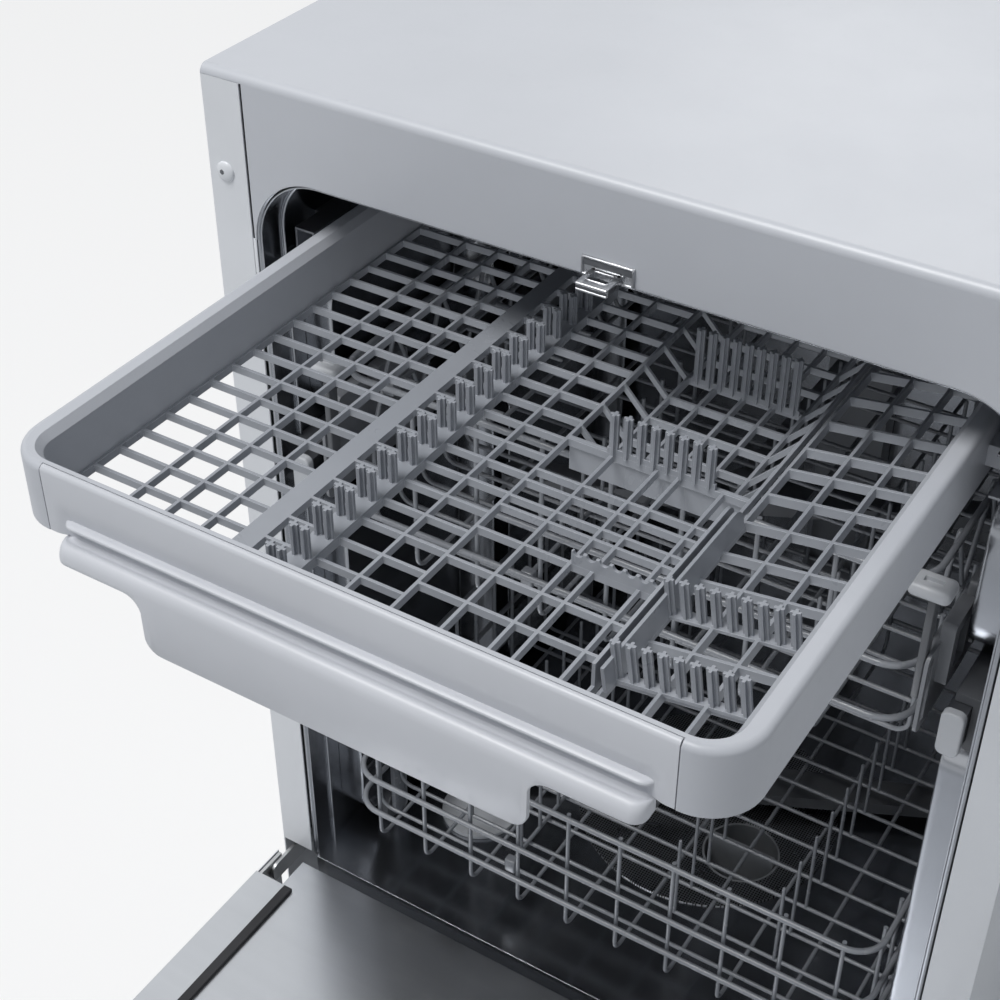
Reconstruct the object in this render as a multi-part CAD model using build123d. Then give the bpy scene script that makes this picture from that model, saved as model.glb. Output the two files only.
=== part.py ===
from build123d import *
from math import radians, tan
import os

# Freestanding dishwasher, in millimetres, with its door open and its cutlery tray drawn out.
# The pieces are drawn in the machine's frame: X to the right, Y back into the machine with
# the cabinet's front at 0, Z up from the floor. The last function moves them all along Y.

# Cabinet
machine_width = 598.0
machine_height = 850.0
cabinet_depth = 538.0
panel_sheet = 1.2
top_sheet = 1.5
top_bend = 6.0
base_bottom = 20.0
base_height = 76.0
base_wall = 3.0
base_setback = 46.0
plinth_setback = 40.0
plinth_sheet = 1.5
plinth_gap = 1.0

# Front of the cabinet, round the opening
flange_width = 30.8
frame_gap = 2.0
frame_strip = 1.4
rail_height = 64.3
opening_radius = 52.0
flange_bottom = 128.0

# Tub
bead_width = 2.6
bead_proud = 1.0
bead_depth = 2.6
tub_sheet = 1.0
tub_floor = 126.0
tub_front = -1.0
sill_bottom = 98.0
tub_rear_room = 35.0
rib_height = 1.0
rib_corner = 26.0
field_front = 40.0
field_gap = 26.0
field_margin = 17.0

# Door
door_gap = 1.5
door_bottom = 102.0
door_head_gap = 4.0
control_panel_height = 124.0
door_inner_face = 4.8
door_front = 60.0
door_skin = 0.8
fascia_wall = 2.5
fascia_proud = 2.0
hinge_inset = 20.0
hinge_pin_radius = 5.0
pin_clearance = 0.06

# Cutlery tray, drawn out by its travel
tray_travel = 290.0
tray_side_room = 36.0
tray_inset = 15.5
tray_rear_room = 43.0
tray_drop = 84.2
tray_height = 43.6
tray_rim = 14.7
tray_front_rim = 10.7
tray_corner = 30.0
tray_inner_corner = 16.0
tray_floor_rise = 6.5
tray_rib = 2.0
tray_rib_height = 5.0
cover_inset = 31.3
cover_thick = 4.0
cover_seam = 0.3
ledge_inset = 11.4
ledge_reach = 11.5
ledge_rise = 1.8
ledge_thick = 11.7
skirt_half = 122.0
skirt_drop = 37.1
skirt_wall = 3.0

# Baskets
basket_front = 14.0
basket_rear_room = 29.0
upper_side_room = 46.2
upper_rim_drop = 14.5
upper_basket_height = 151.0
upper_middle_drop = 72.0
lower_side_room = 34.2
lower_bottom_rise = 46.0
lower_basket_height = 128.0
lower_middle_drop = 60.0
low_ring_rise = 34.0
lower_ring_rise = 30.0
frame_wire = 2.4
thin_wire = 1.8
tine_wire = 1.6
basket_corner = 24.0
wire_pitch = 30.0

# Spray arms
arm_centre_y = 250.0
arm_thick = 12.0
lower_arm_reach = 208.0
middle_arm_reach = 196.0
top_arm_reach = 150.0

running_gap = 0.4
seat_gap = 0.3

half_width = machine_width / 2
side_inner = half_width - panel_sheet
flange_inner = half_width - flange_width
apron_half = flange_inner - frame_gap
opening_half = apron_half - frame_strip
opening_top = machine_height - rail_height
tub_half = opening_half - bead_width
tub_top = opening_top - bead_width
tub_radius = opening_radius - bead_width
base_top = base_bottom + base_height
top_under = machine_height - top_sheet
rear_inner = cabinet_depth - panel_sheet
tub_back = cabinet_depth - tub_rear_room
hinge_y = -hinge_inset
hinge_z = tub_floor + door_inner_face - hinge_inset
door_top = machine_height - door_head_gap
door_split = door_top - control_panel_height
tray_half = tub_half - tray_side_room
tray_bottom = opening_top - tray_drop
tray_floor_top = tray_bottom + tray_floor_rise
cover_half = tray_half - cover_inset
ledge_half = cover_half - ledge_inset
ledge_top = tray_bottom + ledge_rise
ledge_bottom = ledge_top - ledge_thick
skirt_bottom = ledge_bottom - skirt_drop
basket_back = tub_back - basket_rear_room
upper_half = tub_half - upper_side_room
upper_rim = skirt_bottom - upper_rim_drop
upper_middle = upper_rim - upper_middle_drop
upper_bottom = upper_rim - upper_basket_height
lower_half = tub_half - lower_side_room
lower_bottom = tub_floor + lower_bottom_rise
lower_rim = lower_bottom + lower_basket_height
lower_middle = lower_rim - lower_middle_drop
tray_top = tray_bottom + tray_height
tray_depth = tub_back - tray_rear_room
tray_front = tray_travel - tray_inset
tray_rear = tray_depth - tray_front
fascia_front = door_front + fascia_proud
pan_half = half_width - door_gap - door_skin
pan_depth = 16.0
arm_outer = pan_half - door_skin


def block(x0, x1, y0, y1, z0, z1):
    """Rectangular solid between two corners."""
    centre = ((x0 + x1) / 2, (y0 + y1) / 2, (z0 + z1) / 2)
    return Pos(*centre) * Box(abs(x1 - x0), abs(y1 - y0), abs(z1 - z0))


def rod_x(x0, x1, y, z, radius):
    """Round bar along X."""
    return Pos((x0 + x1) / 2, y, z) * Rot(0, 90, 0) * Cylinder(radius, x1 - x0)


def rod_y(x, y0, y1, z, radius):
    """Round bar along Y."""
    return Pos(x, (y0 + y1) / 2, z) * Rot(90, 0, 0) * Cylinder(radius, y1 - y0)


def rod_z(x, y, z0, z1, radius):
    """Round bar along Z."""
    return Pos(x, y, (z0 + z1) / 2) * Cylinder(radius, z1 - z0)


def wall_y(outline, y0, y1):
    """Outline drawn in X and Z, given its thickness from y0 back to y1."""
    plane = Plane(origin=(0, y1, 0), x_dir=(1, 0, 0), z_dir=(0, -1, 0))
    return extrude(plane * outline, y1 - y0, dir=(0, -1, 0))


def bar_x(outline, x0, x1):
    """Outline drawn in Y and Z, drawn out along X."""
    plane = Plane(origin=(x0, 0, 0), x_dir=(0, 1, 0), z_dir=(1, 0, 0))
    return extrude(plane * outline, x1 - x0, dir=(1, 0, 0))


def slab(outline, z0, z1):
    """Outline drawn in X and Y, given its height from z0 up to z1."""
    return extrude(Pos(0, 0, z0) * outline, z1 - z0, dir=(0, 0, 1))


def rect(x0, x1, y0, y1):
    """Flat rectangle between two corners."""
    return Pos((x0 + x1) / 2, (y0 + y1) / 2) * Rectangle(x1 - x0, y1 - y0)


def arch(half, bottom, top, radius):
    """Flat upright rectangle with its two upper corners rounded."""
    sheet = rect(-half, half, bottom, top)
    return fillet(sheet.vertices().group_by(Axis.Y)[-1], radius)


def both(solid):
    """A solid on the right and its mirror image on the left."""
    return [solid, mirror(solid, about=Plane.YZ)]


def spaced(first, last, pitch):
    """Evenly spaced places from first to last, as near to the pitch as fits."""
    steps = max(1, round((last - first) / pitch))
    return [first + (last - first) * i / steps for i in range(steps + 1)]


def cross_post(x, y, size, wall):
    """Flat outline of a cutlery post, a plus sign."""
    return Pos(x, y) * (Rectangle(size, wall) + Rectangle(wall, size))


def opened(solids):
    """Turn the door's pieces from upright to lying open about the hinge."""
    axis = Axis((0, hinge_y, hinge_z), (1, 0, 0))
    return [solid.rotate(axis, 90) for solid in solids]


# Cabinet shell

foot_boss_radius = 11.0
foot_stem_radius = 6.0
foot_pad_radius = 19.0
foot_pad_height = 8.0
foot_nut_height = 5.0
foot_stem_top = 58.0
foot_inset_x = 44.0
tub_post = 14.0
foot_front_y = 70.0
foot_rear_inset = 46.0
foot_rear_y = cabinet_depth - foot_rear_inset


def foot_places():
    """Left and right, front and rear places of the four feet."""
    x = half_width - foot_inset_x
    return {
        "foot_front_left": (-x, foot_front_y),
        "foot_front_right": (x, foot_front_y),
        "foot_rear_left": (-x, foot_rear_y),
        "foot_rear_right": (x, foot_rear_y),
    }


def foot(x, y):
    """Levelling foot: a pad, a hexagon for the spanner and a stem."""
    pad = rod_z(x, y, 0, foot_pad_height, foot_pad_radius)
    pad = fillet(pad.edges().group_by(Axis.Z)[-1], foot_pad_height / 4)
    nut_top = foot_pad_height + foot_nut_height
    nut = slab(Pos(x, y) * RegularPolygon(foot_boss_radius, 6), foot_pad_height, nut_top)
    stem = rod_z(x, y, foot_pad_height, foot_stem_top, foot_stem_radius)
    return pad + nut + stem


def base_tray():
    """Moulded base: a floor with walls, foot bosses and posts that carry the tub."""
    side = side_inner - panel_sheet
    rear = rear_inner - panel_sheet
    outer = block(-side, side, base_setback, rear, base_bottom, base_top)
    hollow = block(
        base_wall - side, side - base_wall,
        base_setback + base_wall, rear - base_wall,
        base_bottom + base_wall, base_top + base_wall,
    )
    tray = outer - hollow
    for x, y in foot_places().values():
        tray += rod_z(x, y, base_bottom, foot_stem_top + base_wall, foot_boss_radius)
        bore = foot_stem_radius + pin_clearance
        tray -= rod_z(x, y, base_bottom - 1, foot_stem_top + running_gap, bore)
    for y in (base_setback, rear - tub_post):
        outer = tub_half - tub_post
        column = block(outer - tub_post, outer, y, y + tub_post, base_bottom, tub_floor - tub_sheet)
        for solid in both(column):
            tray += solid
    return tray


def side_panel():
    """Right side panel: a painted sheet folded in at the front beside the opening."""
    sheet = block(side_inner, half_width, 0, cabinet_depth, base_bottom, top_under)
    sheet -= block(
        side_inner - 1, half_width + 1, -1, top_bend + 0.1,
        machine_height - top_bend - 0.1, machine_height,
    )
    front = block(flange_inner, side_inner, 0, panel_sheet, flange_bottom, machine_height - top_bend - 0.1)
    return sheet + front


screw_drop = 71.4
screw_radius = 7.2
screw_dome = 2.6
screw_recess = 1.9
screw_offset = 2.2
screw_sides = 24


def flange_screws():
    """Domed screw on each front flange, with its shank through the sheet."""
    x = (flange_inner + half_width) / 2 + screw_offset
    z = machine_height - screw_drop
    dome = None
    for start, end, taper in ((0, 0.35, 0), (0.35, 0.75, 42), (0.75, 1, 66)):
        low, high = start * screw_dome, end * screw_dome
        radius = screw_radius - max(0, start - 0.35) * screw_dome * tan(radians(42))
        plane = Plane(origin=(x, -low, z), x_dir=(1, 0, 0), z_dir=(0, -1, 0))
        step = extrude(plane * RegularPolygon(radius, screw_sides), high - low, taper=taper)
        dome = step if dome is None else dome + step
    plane = Plane(origin=(x, -2 * screw_dome, z), x_dir=(1, 0, 0), z_dir=(0, 1, 0))
    dome -= extrude(plane * RegularPolygon(screw_recess, 6), 1.5 * screw_dome)
    return both(dome)


def rear_panel():
    """Painted rear sheet between the side panels, notched over both water fittings."""
    sheet = block(-side_inner, side_inner, rear_inner, cabinet_depth, base_top, top_under)
    notch_top = base_top + notch_height
    return sheet - block(-notch_half, notch_half, rear_inner - 1, cabinet_depth + 1, base_top, notch_top)


def top_panel():
    """Top sheet bent down at the front into the band above the opening."""
    outer = top_bend
    inner = top_bend - top_sheet
    corner = Pos(outer, machine_height - outer) * (Circle(outer) - Circle(inner))
    corner = corner & rect(0, outer, machine_height - outer, machine_height)
    lip = bar_x(corner, -half_width, half_width)
    lid = block(-half_width, half_width, outer, cabinet_depth, top_under, machine_height)
    foot_of_band = opening_top - opening_radius
    band = rect(-apron_half, apron_half, foot_of_band, machine_height - outer)
    band -= arch(opening_half, foot_of_band - 1, opening_top, opening_radius)
    return lip + lid + wall_y(band, 0, top_sheet)


def plinth():
    """Kick plate below the door, with side returns against the base."""
    x = side_inner - plinth_gap
    plate = block(-x, x, plinth_setback, plinth_setback + plinth_sheet, foot_pad_height, base_top)
    for solid in both(block(x - plinth_sheet, x, plinth_setback, base_setback, base_bottom, base_top)):
        plate += solid
    return plate


# Tub


def tub_wrapper():
    """Stainless sides and ceiling in one bent sheet, with a rolled bead at the front."""
    low = tub_floor - tub_sheet
    inner = arch(tub_half, low, tub_top, tub_radius)
    sheet = arch(tub_half + tub_sheet, low, tub_top + tub_sheet, tub_radius + tub_sheet)
    edge = arch(opening_half, low, opening_top, opening_radius)
    wall = wall_y(sheet - inner, bead_depth, tub_back)
    bead = wall_y(edge - inner, -bead_proud, bead_depth)
    shell = wall + bead
    # Pressed fields stand inwards on both side walls, clear of the rails.
    for y0, y1 in side_field_places():
        for z0, z1 in field_heights():
            field = fillet(rect(y0, y1, z0, z1).vertices(), rib_corner)
            for solid in both(bar_x(field, tub_half - rib_height, tub_half)):
                shell += solid
    return shell


def side_field_places():
    """Front and rear ends of the two pressed fields along each side wall."""
    rear = tub_back - field_margin
    middle = (field_front + rear) / 2
    return (field_front, middle - field_gap / 2), (middle + field_gap / 2, rear)


def field_heights():
    """Lower and upper edges of the side wall's fields, below and above the upper rails."""
    lower = (tub_floor + 24, upper_rail_z0 - 27)
    return lower, (upper_rail_z1 + 20, tray_rail_z0 - 12)


sump_radius = 104.0
sump_wall = 3.0
sump_depth = 56.0
salt_inset = 92.2
salt_x = salt_inset - tub_half
salt_y = 120.0
salt_radius = 30.0
sump_y = 235.0


def tub_floor_pan():
    """Pressed bottom of the tub with its front sill, open for the sump and the salt filler."""
    pan = block(-tub_half, tub_half, tub_front, tub_back, tub_floor - tub_sheet, tub_floor)
    pan += block(-tub_half, tub_half, tub_front, tub_front + tub_sheet, sill_bottom, tub_floor)
    pan -= rod_z(0, sump_y, tub_floor - 2, tub_floor + 1, sump_radius)
    return pan - rod_z(salt_x, salt_y, tub_floor - 2, tub_floor + 1, salt_radius)


def tub_rear_wall():
    """Stainless back of the tub with two pressed fields."""
    outline = arch(tub_half + tub_sheet, tub_floor - tub_sheet, tub_top + tub_sheet, tub_radius + tub_sheet)
    wall = wall_y(outline, tub_back, tub_back + tub_sheet)
    x0 = duct_half + 20
    x1 = tub_half - 42.2
    for z0, z1 in ((tub_floor + 44, upper_bottom - 69), (upper_middle - 8, tub_top - 43.1)):
        field = fillet(rect(x0, x1, z0, z1).vertices(), rib_corner)
        for solid in both(wall_y(field, tub_back - rib_height, tub_back)):
            wall += solid
    return wall


striker_x = 1.0
striker_half = 17.7
striker_tall = 13.0
striker_plate = 2.0
striker_border = 2.2
striker_sunk = 0.8
tongue_half = 10.5
tongue_reach = 20.7
tongue_rise = 6.3
tongue_top = opening_top + tongue_rise
tongue_thick = 5.5
tongue_hole_half = 6.0
tongue_hole_start = 3.2
tongue_hole_end = 14.7


def door_striker():
    """Chrome striker on the front band, with the square hole that the latch enters."""
    left = striker_x - striker_half
    right = striker_x + striker_half
    plate = block(left, right, -striker_plate, 0, opening_top, opening_top + striker_tall)
    plate -= block(
        left + striker_border, right - striker_border, -striker_plate - 1, striker_sunk - striker_plate,
        opening_top + striker_border, opening_top + striker_tall - striker_border,
    )
    tongue = block(
        striker_x - tongue_half, striker_x + tongue_half, -tongue_reach, -striker_plate / 2,
        tongue_top - tongue_thick, tongue_top,
    )
    tongue = chamfer(tongue.edges().filter_by(Axis.X).group_by(Axis.Y)[0], 1.2)
    hole = block(
        striker_x - tongue_hole_half, striker_x + tongue_hole_half,
        -tongue_hole_end, -tongue_hole_start, tongue_top - tongue_thick - 1, tongue_top + 1,
    )
    return plate + tongue - hole


# Works below and behind the tub

arm_hub_radius = 13.0
lower_arm_rise = 13.0
lower_arm_z = tub_floor + lower_arm_rise
middle_arm_drop = 28.0
middle_arm_z = upper_bottom - middle_arm_drop
top_arm_drop = 25.1
top_arm_z = tub_top - top_arm_drop
filter_x = 50.0
filter_y = 200.0
filter_radius = 34.0
filter_sheet = 1.2
filter_overlap = 12.0
filter_handle = 9.0
pump_radius = 38.0
pump_length = 92.0
pump_z = 73.0
sump_bottom = tub_floor - tub_sheet - sump_depth


def sump():
    """Round well under the tub, with the tower that carries the lower spray arm."""
    top = tub_floor - tub_sheet
    cup = rod_z(0, sump_y, sump_bottom, top, sump_radius)
    cup -= rod_z(0, sump_y, sump_bottom + sump_wall, top + 1, sump_radius - sump_wall)
    tower = rod_z(0, arm_centre_y, sump_bottom, lower_arm_z - seat_gap, arm_hub_radius)
    spindle = rod_z(0, arm_centre_y, sump_bottom, lower_arm_z + arm_thick + 3, 5)
    seat = rod_z(filter_x, filter_y, sump_bottom, sump_bottom + 8, filter_radius)
    return cup + tower + spindle + seat


def filter_plate():
    """Fine stainless filter over the sump, with holes for the tower and the filter cup."""
    rim = sump_radius + filter_overlap
    plate = rod_z(0, sump_y, tub_floor, tub_floor + filter_sheet, rim)
    plate -= rod_z(0, arm_centre_y, tub_floor - 1, tub_floor + 3, arm_hub_radius + seat_gap)
    return plate - rod_z(filter_x, filter_y, tub_floor - 1, tub_floor + 3, filter_radius + running_gap)


def filter_cup():
    """Coarse filter cup that twists into the sump, with its grip."""
    low = sump_bottom + 8 + running_gap
    top = tub_floor + filter_sheet
    cup = rod_z(filter_x, filter_y, low, top, filter_radius)
    cup -= rod_z(filter_x, filter_y, low + 2, top + 1, filter_radius - 2)
    grip = block(filter_x - 31, filter_x + 31, filter_y - 2, filter_y + 2, low + 2, top + filter_handle)
    return cup + grip


def circulation_pump():
    """Circulation pump lying beside the sump, with its heater collar and outlet."""
    start = sump_radius + running_gap
    body = rod_x(start + 14, start + 14 + pump_length, sump_y, pump_z, pump_radius)
    neck = rod_x(start, start + 14, sump_y, pump_z, pump_radius / 2)
    motor = rod_x(start + 14 + pump_length, start + 14 + pump_length + 30, sump_y, pump_z, pump_radius - 8)
    return body + neck + motor


def drain_pump():
    """Small drain pump in front of the sump, with its outlet towards the rear."""
    x = 62.0
    y = sump_y - sump_radius - 60
    body = rod_y(x, y, y + 46, 60, 22)
    foot_of_pump = block(x - 16, x + 16, y + 6, y + 40, base_bottom + base_wall, 45)
    return body + foot_of_pump


def water_softener():
    """Softener tank under the left of the tub, with the neck of its salt filler."""
    low = base_bottom + base_wall
    tank = block(salt_x - 52, salt_x + 38, salt_y - 46, salt_y + 190, low, tub_floor - 12)
    tank = fillet(tank.edges().filter_by(Axis.Z), 10)
    neck = rod_z(salt_x, salt_y, tub_floor - 12, tub_floor, salt_radius - seat_gap)
    bore = rod_z(salt_x, salt_y, 70, tub_floor + 1, salt_radius - 5)
    return tank + neck - bore


def salt_cap():
    """Screw cap of the salt filler, with a grip bar."""
    cap = rod_z(salt_x, salt_y, tub_floor + running_gap, tub_floor + 4, salt_radius + 4)
    plug = rod_z(salt_x, salt_y, tub_floor - 14, tub_floor + running_gap, salt_radius - 5 - running_gap)
    grip = block(salt_x - 24, salt_x + 24, salt_y - 2.5, salt_y + 2.5, tub_floor + 4, tub_floor + 9)
    return cap + plug + grip


fitting_z = base_top + 16.0
notch_height = 32.0
notch_half = 160.0
inlet_x = -120.0
outlet_x = 120.0
inlet_thread_radius = 13.2
inlet_bore = 8.0
inlet_screen_depth = 3.5
outlet_radius = 10.0
outlet_bore = 7.5
fitting_reach = 14.0


def inlet_valve():
    """Inlet valve with its threaded stub through the rear panel."""
    low = base_top + 0.5
    body = block(inlet_x - 20, inlet_x + 20, rear_inner - 26, cabinet_depth, low, fitting_z + 14)
    rear = rear_inner - 6
    coil = block(inlet_x - 14, inlet_x + 14, rear - 20, rear, fitting_z + 14, fitting_z + 32)
    end = cabinet_depth + fitting_reach
    stub = rod_y(inlet_x, rear_inner, end, fitting_z, inlet_thread_radius)
    bore = rod_y(inlet_x, end - inlet_screen_depth, end + 1, fitting_z, inlet_bore)
    return body + coil + stub - bore


def drain_outlet():
    """Drain spigot through the rear panel, on its bracket."""
    low = base_top + 0.5
    end = cabinet_depth + fitting_reach
    body = block(outlet_x - 16, outlet_x + 16, rear_inner - 18, cabinet_depth, low, fitting_z + 11)
    spigot = rod_y(outlet_x, rear_inner, end, fitting_z, outlet_radius)
    bore = rod_y(outlet_x, rear_inner - 10, end + 1, fitting_z, outlet_bore)
    return body + spigot - bore


duct_thick = 23.0
duct_front = tub_back - duct_thick
duct_half = 30.0
duct_top_gap = 1.0


def spray_duct():
    """Flat duct up the back of the tub and along its ceiling to the top spray arm."""
    ceiling = tub_top - duct_top_gap
    riser = block(-duct_half, duct_half, duct_front, tub_back - rib_height - seat_gap, tub_floor, ceiling)
    dock = block(-14, 14, duct_front - 2.5, duct_front, middle_arm_z + 14, middle_arm_z + 24)
    run = block(-18, 18, arm_centre_y, duct_front, ceiling - 10, ceiling)
    hub = rod_z(0, arm_centre_y, top_arm_z + arm_thick + seat_gap, ceiling, 18)
    spindle = rod_z(0, arm_centre_y, top_arm_z - 3, ceiling, 5)
    return riser + dock + run + hub + spindle


def spray_arm(reach, z, width):
    """Spray arm: two tapered blades on a hub, bored for its spindle."""
    tip = width * 0.62
    blade = Polygon((-reach, -tip / 2), (reach, -tip / 2), (reach, tip / 2), (-reach, tip / 2), align=None)
    waist = Polygon(
        (-reach, -tip / 2), (0, -width / 2), (reach, -tip / 2),
        (reach, tip / 2), (0, width / 2), (-reach, tip / 2), align=None,
    )
    outline = fillet((blade + waist).vertices().group_by(Axis.X)[0], tip * 0.45)
    outline = fillet(outline.vertices().group_by(Axis.X)[-1], tip * 0.45)
    arm = slab(Pos(0, arm_centre_y) * Rot(0, 0, 24) * outline, z, z + arm_thick)
    arm += rod_z(0, arm_centre_y, z, z + arm_thick, width / 2 + 4)
    return arm - rod_z(0, arm_centre_y, z - 1, z + arm_thick + 1, 5 + pin_clearance)


# Rails and runners

upper_rail_rise = 38.0
upper_rail_height = 29.0
upper_rail_z0 = upper_bottom + upper_rail_rise
upper_rail_z1 = upper_rail_z0 + upper_rail_height
upper_rail_wall_gap = 8.2
upper_rail_width = 13.0
upper_rail_x1 = tub_half - upper_rail_wall_gap
upper_rail_x0 = upper_rail_x1 - upper_rail_width
upper_rail_front = 10.0
rail_rear_room = 5.0
rail_back = tub_back - rail_rear_room
rail_sheet = 1.5
cap_grow = 3.0
cap_thick = 6.0
tray_rail_rise = 4.5
tray_rail_height = 30.0
tray_rail_wall_gap = 10.2
tray_rail_width = 16.0
tray_rail_z0 = tray_bottom + tray_rail_rise
tray_rail_z1 = tray_rail_z0 + tray_rail_height
tray_rail_x1 = tub_half - tray_rail_wall_gap
tray_rail_x0 = tray_rail_x1 - tray_rail_width
tray_rail_front = 25.0
guide_length = 42.0
guide_wall = 7.0
guide_places = (20.0, 186.0)
rail_block_length = 30.0
rail_block_front = 60.0
rail_block_rear_room = 78.0
rail_block_spacing = 180.0


def channels(x0, x1, y0, y1, z0, z1):
    """Pair of rails: channels whose mouths face the middle of the tub."""
    bar = block(x0, x1, y0, y1, z0, z1)
    bar -= block(x0 - 1, x1 - rail_sheet, y0 - 1, y1 + 1, z0 + rail_sheet, z1 - rail_sheet)
    return both(bar)


def upper_rails():
    """Sliding channels of the upper basket."""
    return channels(
        upper_rail_x0, upper_rail_x1, upper_rail_front, rail_back, upper_rail_z0, upper_rail_z1,
    )


def rail_end_caps():
    """Grey caps on the front ends of the sliding channels."""
    outline = rect(upper_rail_x0 - 1, upper_rail_x1 + 1, upper_rail_z0 - cap_grow, upper_rail_z1 + cap_grow)
    outline = fillet(outline.vertices(), 5)
    cap = wall_y(outline, upper_rail_front - cap_thick, upper_rail_front)
    cap = fillet(cap.edges().group_by(Axis.Y)[0], 1.5)
    return both(cap)


def rail_guides():
    """Nylon guides on the tub walls, front and rear, that the channels slide in."""
    guides = []
    for y in guide_places:
        outer = block(
            upper_rail_x0 + 2, tub_half, y, y + guide_length,
            upper_rail_z0 - guide_wall, upper_rail_z1 + guide_wall,
        )
        path = block(
            upper_rail_x0 - 5, upper_rail_x1 + running_gap, y - 1, y + guide_length + 1,
            upper_rail_z0 - running_gap, upper_rail_z1 + running_gap,
        )
        guides += both(outer - path)
    return guides


def tray_rails():
    """Fixed channels of the cutlery tray on their wall blocks."""
    rails = channels(
        tray_rail_x0, tray_rail_x1, tray_rail_front, rail_back, tray_rail_z0, tray_rail_z1,
    )
    for y in spaced(rail_block_front, rail_back - rail_block_rear_room, rail_block_spacing):
        end = y + rail_block_length
        rails += both(block(tray_rail_x1, tub_half, y, end, tray_rail_z0 + 6, tray_rail_z1 - 6))
    return rails


glide_length = 30.0
glide_spacing = 100.0
glide_rear_gap = 15.5


def wheel_x(x0, x1, y, z, radius, bore):
    """Wheel with softened edges on an axle along X."""
    disc = rod_x(x0, x1, y, z, radius)
    disc = fillet(disc.edges(), 1.0)
    return disc - rod_x(x0 - 1, x1 + 1, y, z, bore + pin_clearance)


def tray_glides():
    """Glides on both sides of the tray that run in the fixed channels."""
    solids = []
    z0 = tray_rail_z0 + rail_sheet + running_gap
    z1 = tray_rail_z1 - rail_sheet - running_gap
    for back in (0, glide_spacing):
        y1 = tray_rear - glide_rear_gap - back
        y0 = y1 - glide_length
        shoe = block(tray_rail_x0 + 2, tray_rail_x1 - rail_sheet - running_gap, y0, y1, z0, z1)
        shoe = fillet(shoe.edges().filter_by(Axis.X), 5)
        web = block(tray_half - 1, tray_rail_x0 + 3, y0 + 3, y1 - 3, z0 + 6, z1 - 6)
        solids += both(shoe + web)
    return solids


# Cutlery tray

rim_round = 4.0
rim_slope_width = 5.0
rim_slope_drop = 4.0
tray_skin = 2.6
basin_x0 = 8.0
basin_x1 = 124.0
basin_y0 = -52.0
basin_drop = 18.0
basin_floor = tray_floor_top - basin_drop
insert_gap = 3.4
insert_x0 = basin_x1 + tray_rib + insert_gap
insert_slope = 8.0
insert_rib_height = 6.0
insert_pin_radius = 2.0
insert_pin_x = insert_x0 + 2.4
insert_pin_z = tray_floor_top - 3.0
post_size = 5.6
post_wall = 1.8
post_height = 22.0
post_row_x = -57.0
post_row_pitch = 20.0
post_pitch = 8.7
front_posts_drop = 9.1
well_posts_drop = 15.1
well_posts_y = 64.0


def tray_wall_y():
    """Inner faces of the tray's front and rear walls."""
    return tray_front_rim - tray_front, tray_rear - tray_front_rim


def tray_frame():
    """Tray wall all round, hollow below, with a sloped inner rim and a pocket for the cover."""
    inner_half = tray_half - tray_rim
    y0, y1 = tray_wall_y()
    outer = fillet(rect(-tray_half, tray_half, -tray_front, tray_rear).vertices(), tray_corner)
    inner = fillet(rect(-inner_half, inner_half, y0, y1).vertices(), tray_inner_corner)
    ring = slab(outer, tray_bottom, tray_top)
    top_edges = ring.edges().group_by(Axis.Z)[-1]
    ring = fillet(top_edges, rim_round)
    ring -= slab(inner, tray_bottom - 1, tray_top + 1)
    inner_edges = [e for e in ring.edges().group_by(Axis.Z)[-1] if abs(e.center().X) < inner_half + 1
                   and y0 - 1 < e.center().Y < y1 + 1]
    ring = chamfer(inner_edges, rim_slope_drop, rim_slope_width)
    side = tray_half - tray_skin
    hollow = rect(-side, side, tray_skin + cover_thick - tray_front, tray_rear - tray_skin)
    hollow = fillet(hollow.vertices(), tray_corner - tray_skin)
    core = rect(-inner_half - tray_skin, inner_half + tray_skin, y0 - tray_skin, y1 + tray_skin)
    core = fillet(core.vertices(), tray_inner_corner + tray_skin)
    ring -= slab(hollow - core, tray_bottom - 1, tray_top - rim_slope_drop - tray_skin)
    seat = cover_half + cover_seam
    ring -= block(-seat, seat, -tray_front - 1, cover_thick - tray_front, tray_bottom - 1, tray_top + 1)
    for glide in tray_glides():
        ring += glide
    pin = insert_pin_radius + pin_clearance
    return ring - rod_y(insert_pin_x, y0 - 2, y1 + 2, insert_pin_z, pin)


grip_half = cover_half - 7.9
grip_top = tray_bottom + 21.0
grip_depth = 2.5
grip_round = 8.0
lip_thick = 2.8
lip_top = tray_bottom + 10.9
lip_bottom = lip_top - lip_thick
lip_half = ledge_half - 1.0
lip_reach = 4.0


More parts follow.
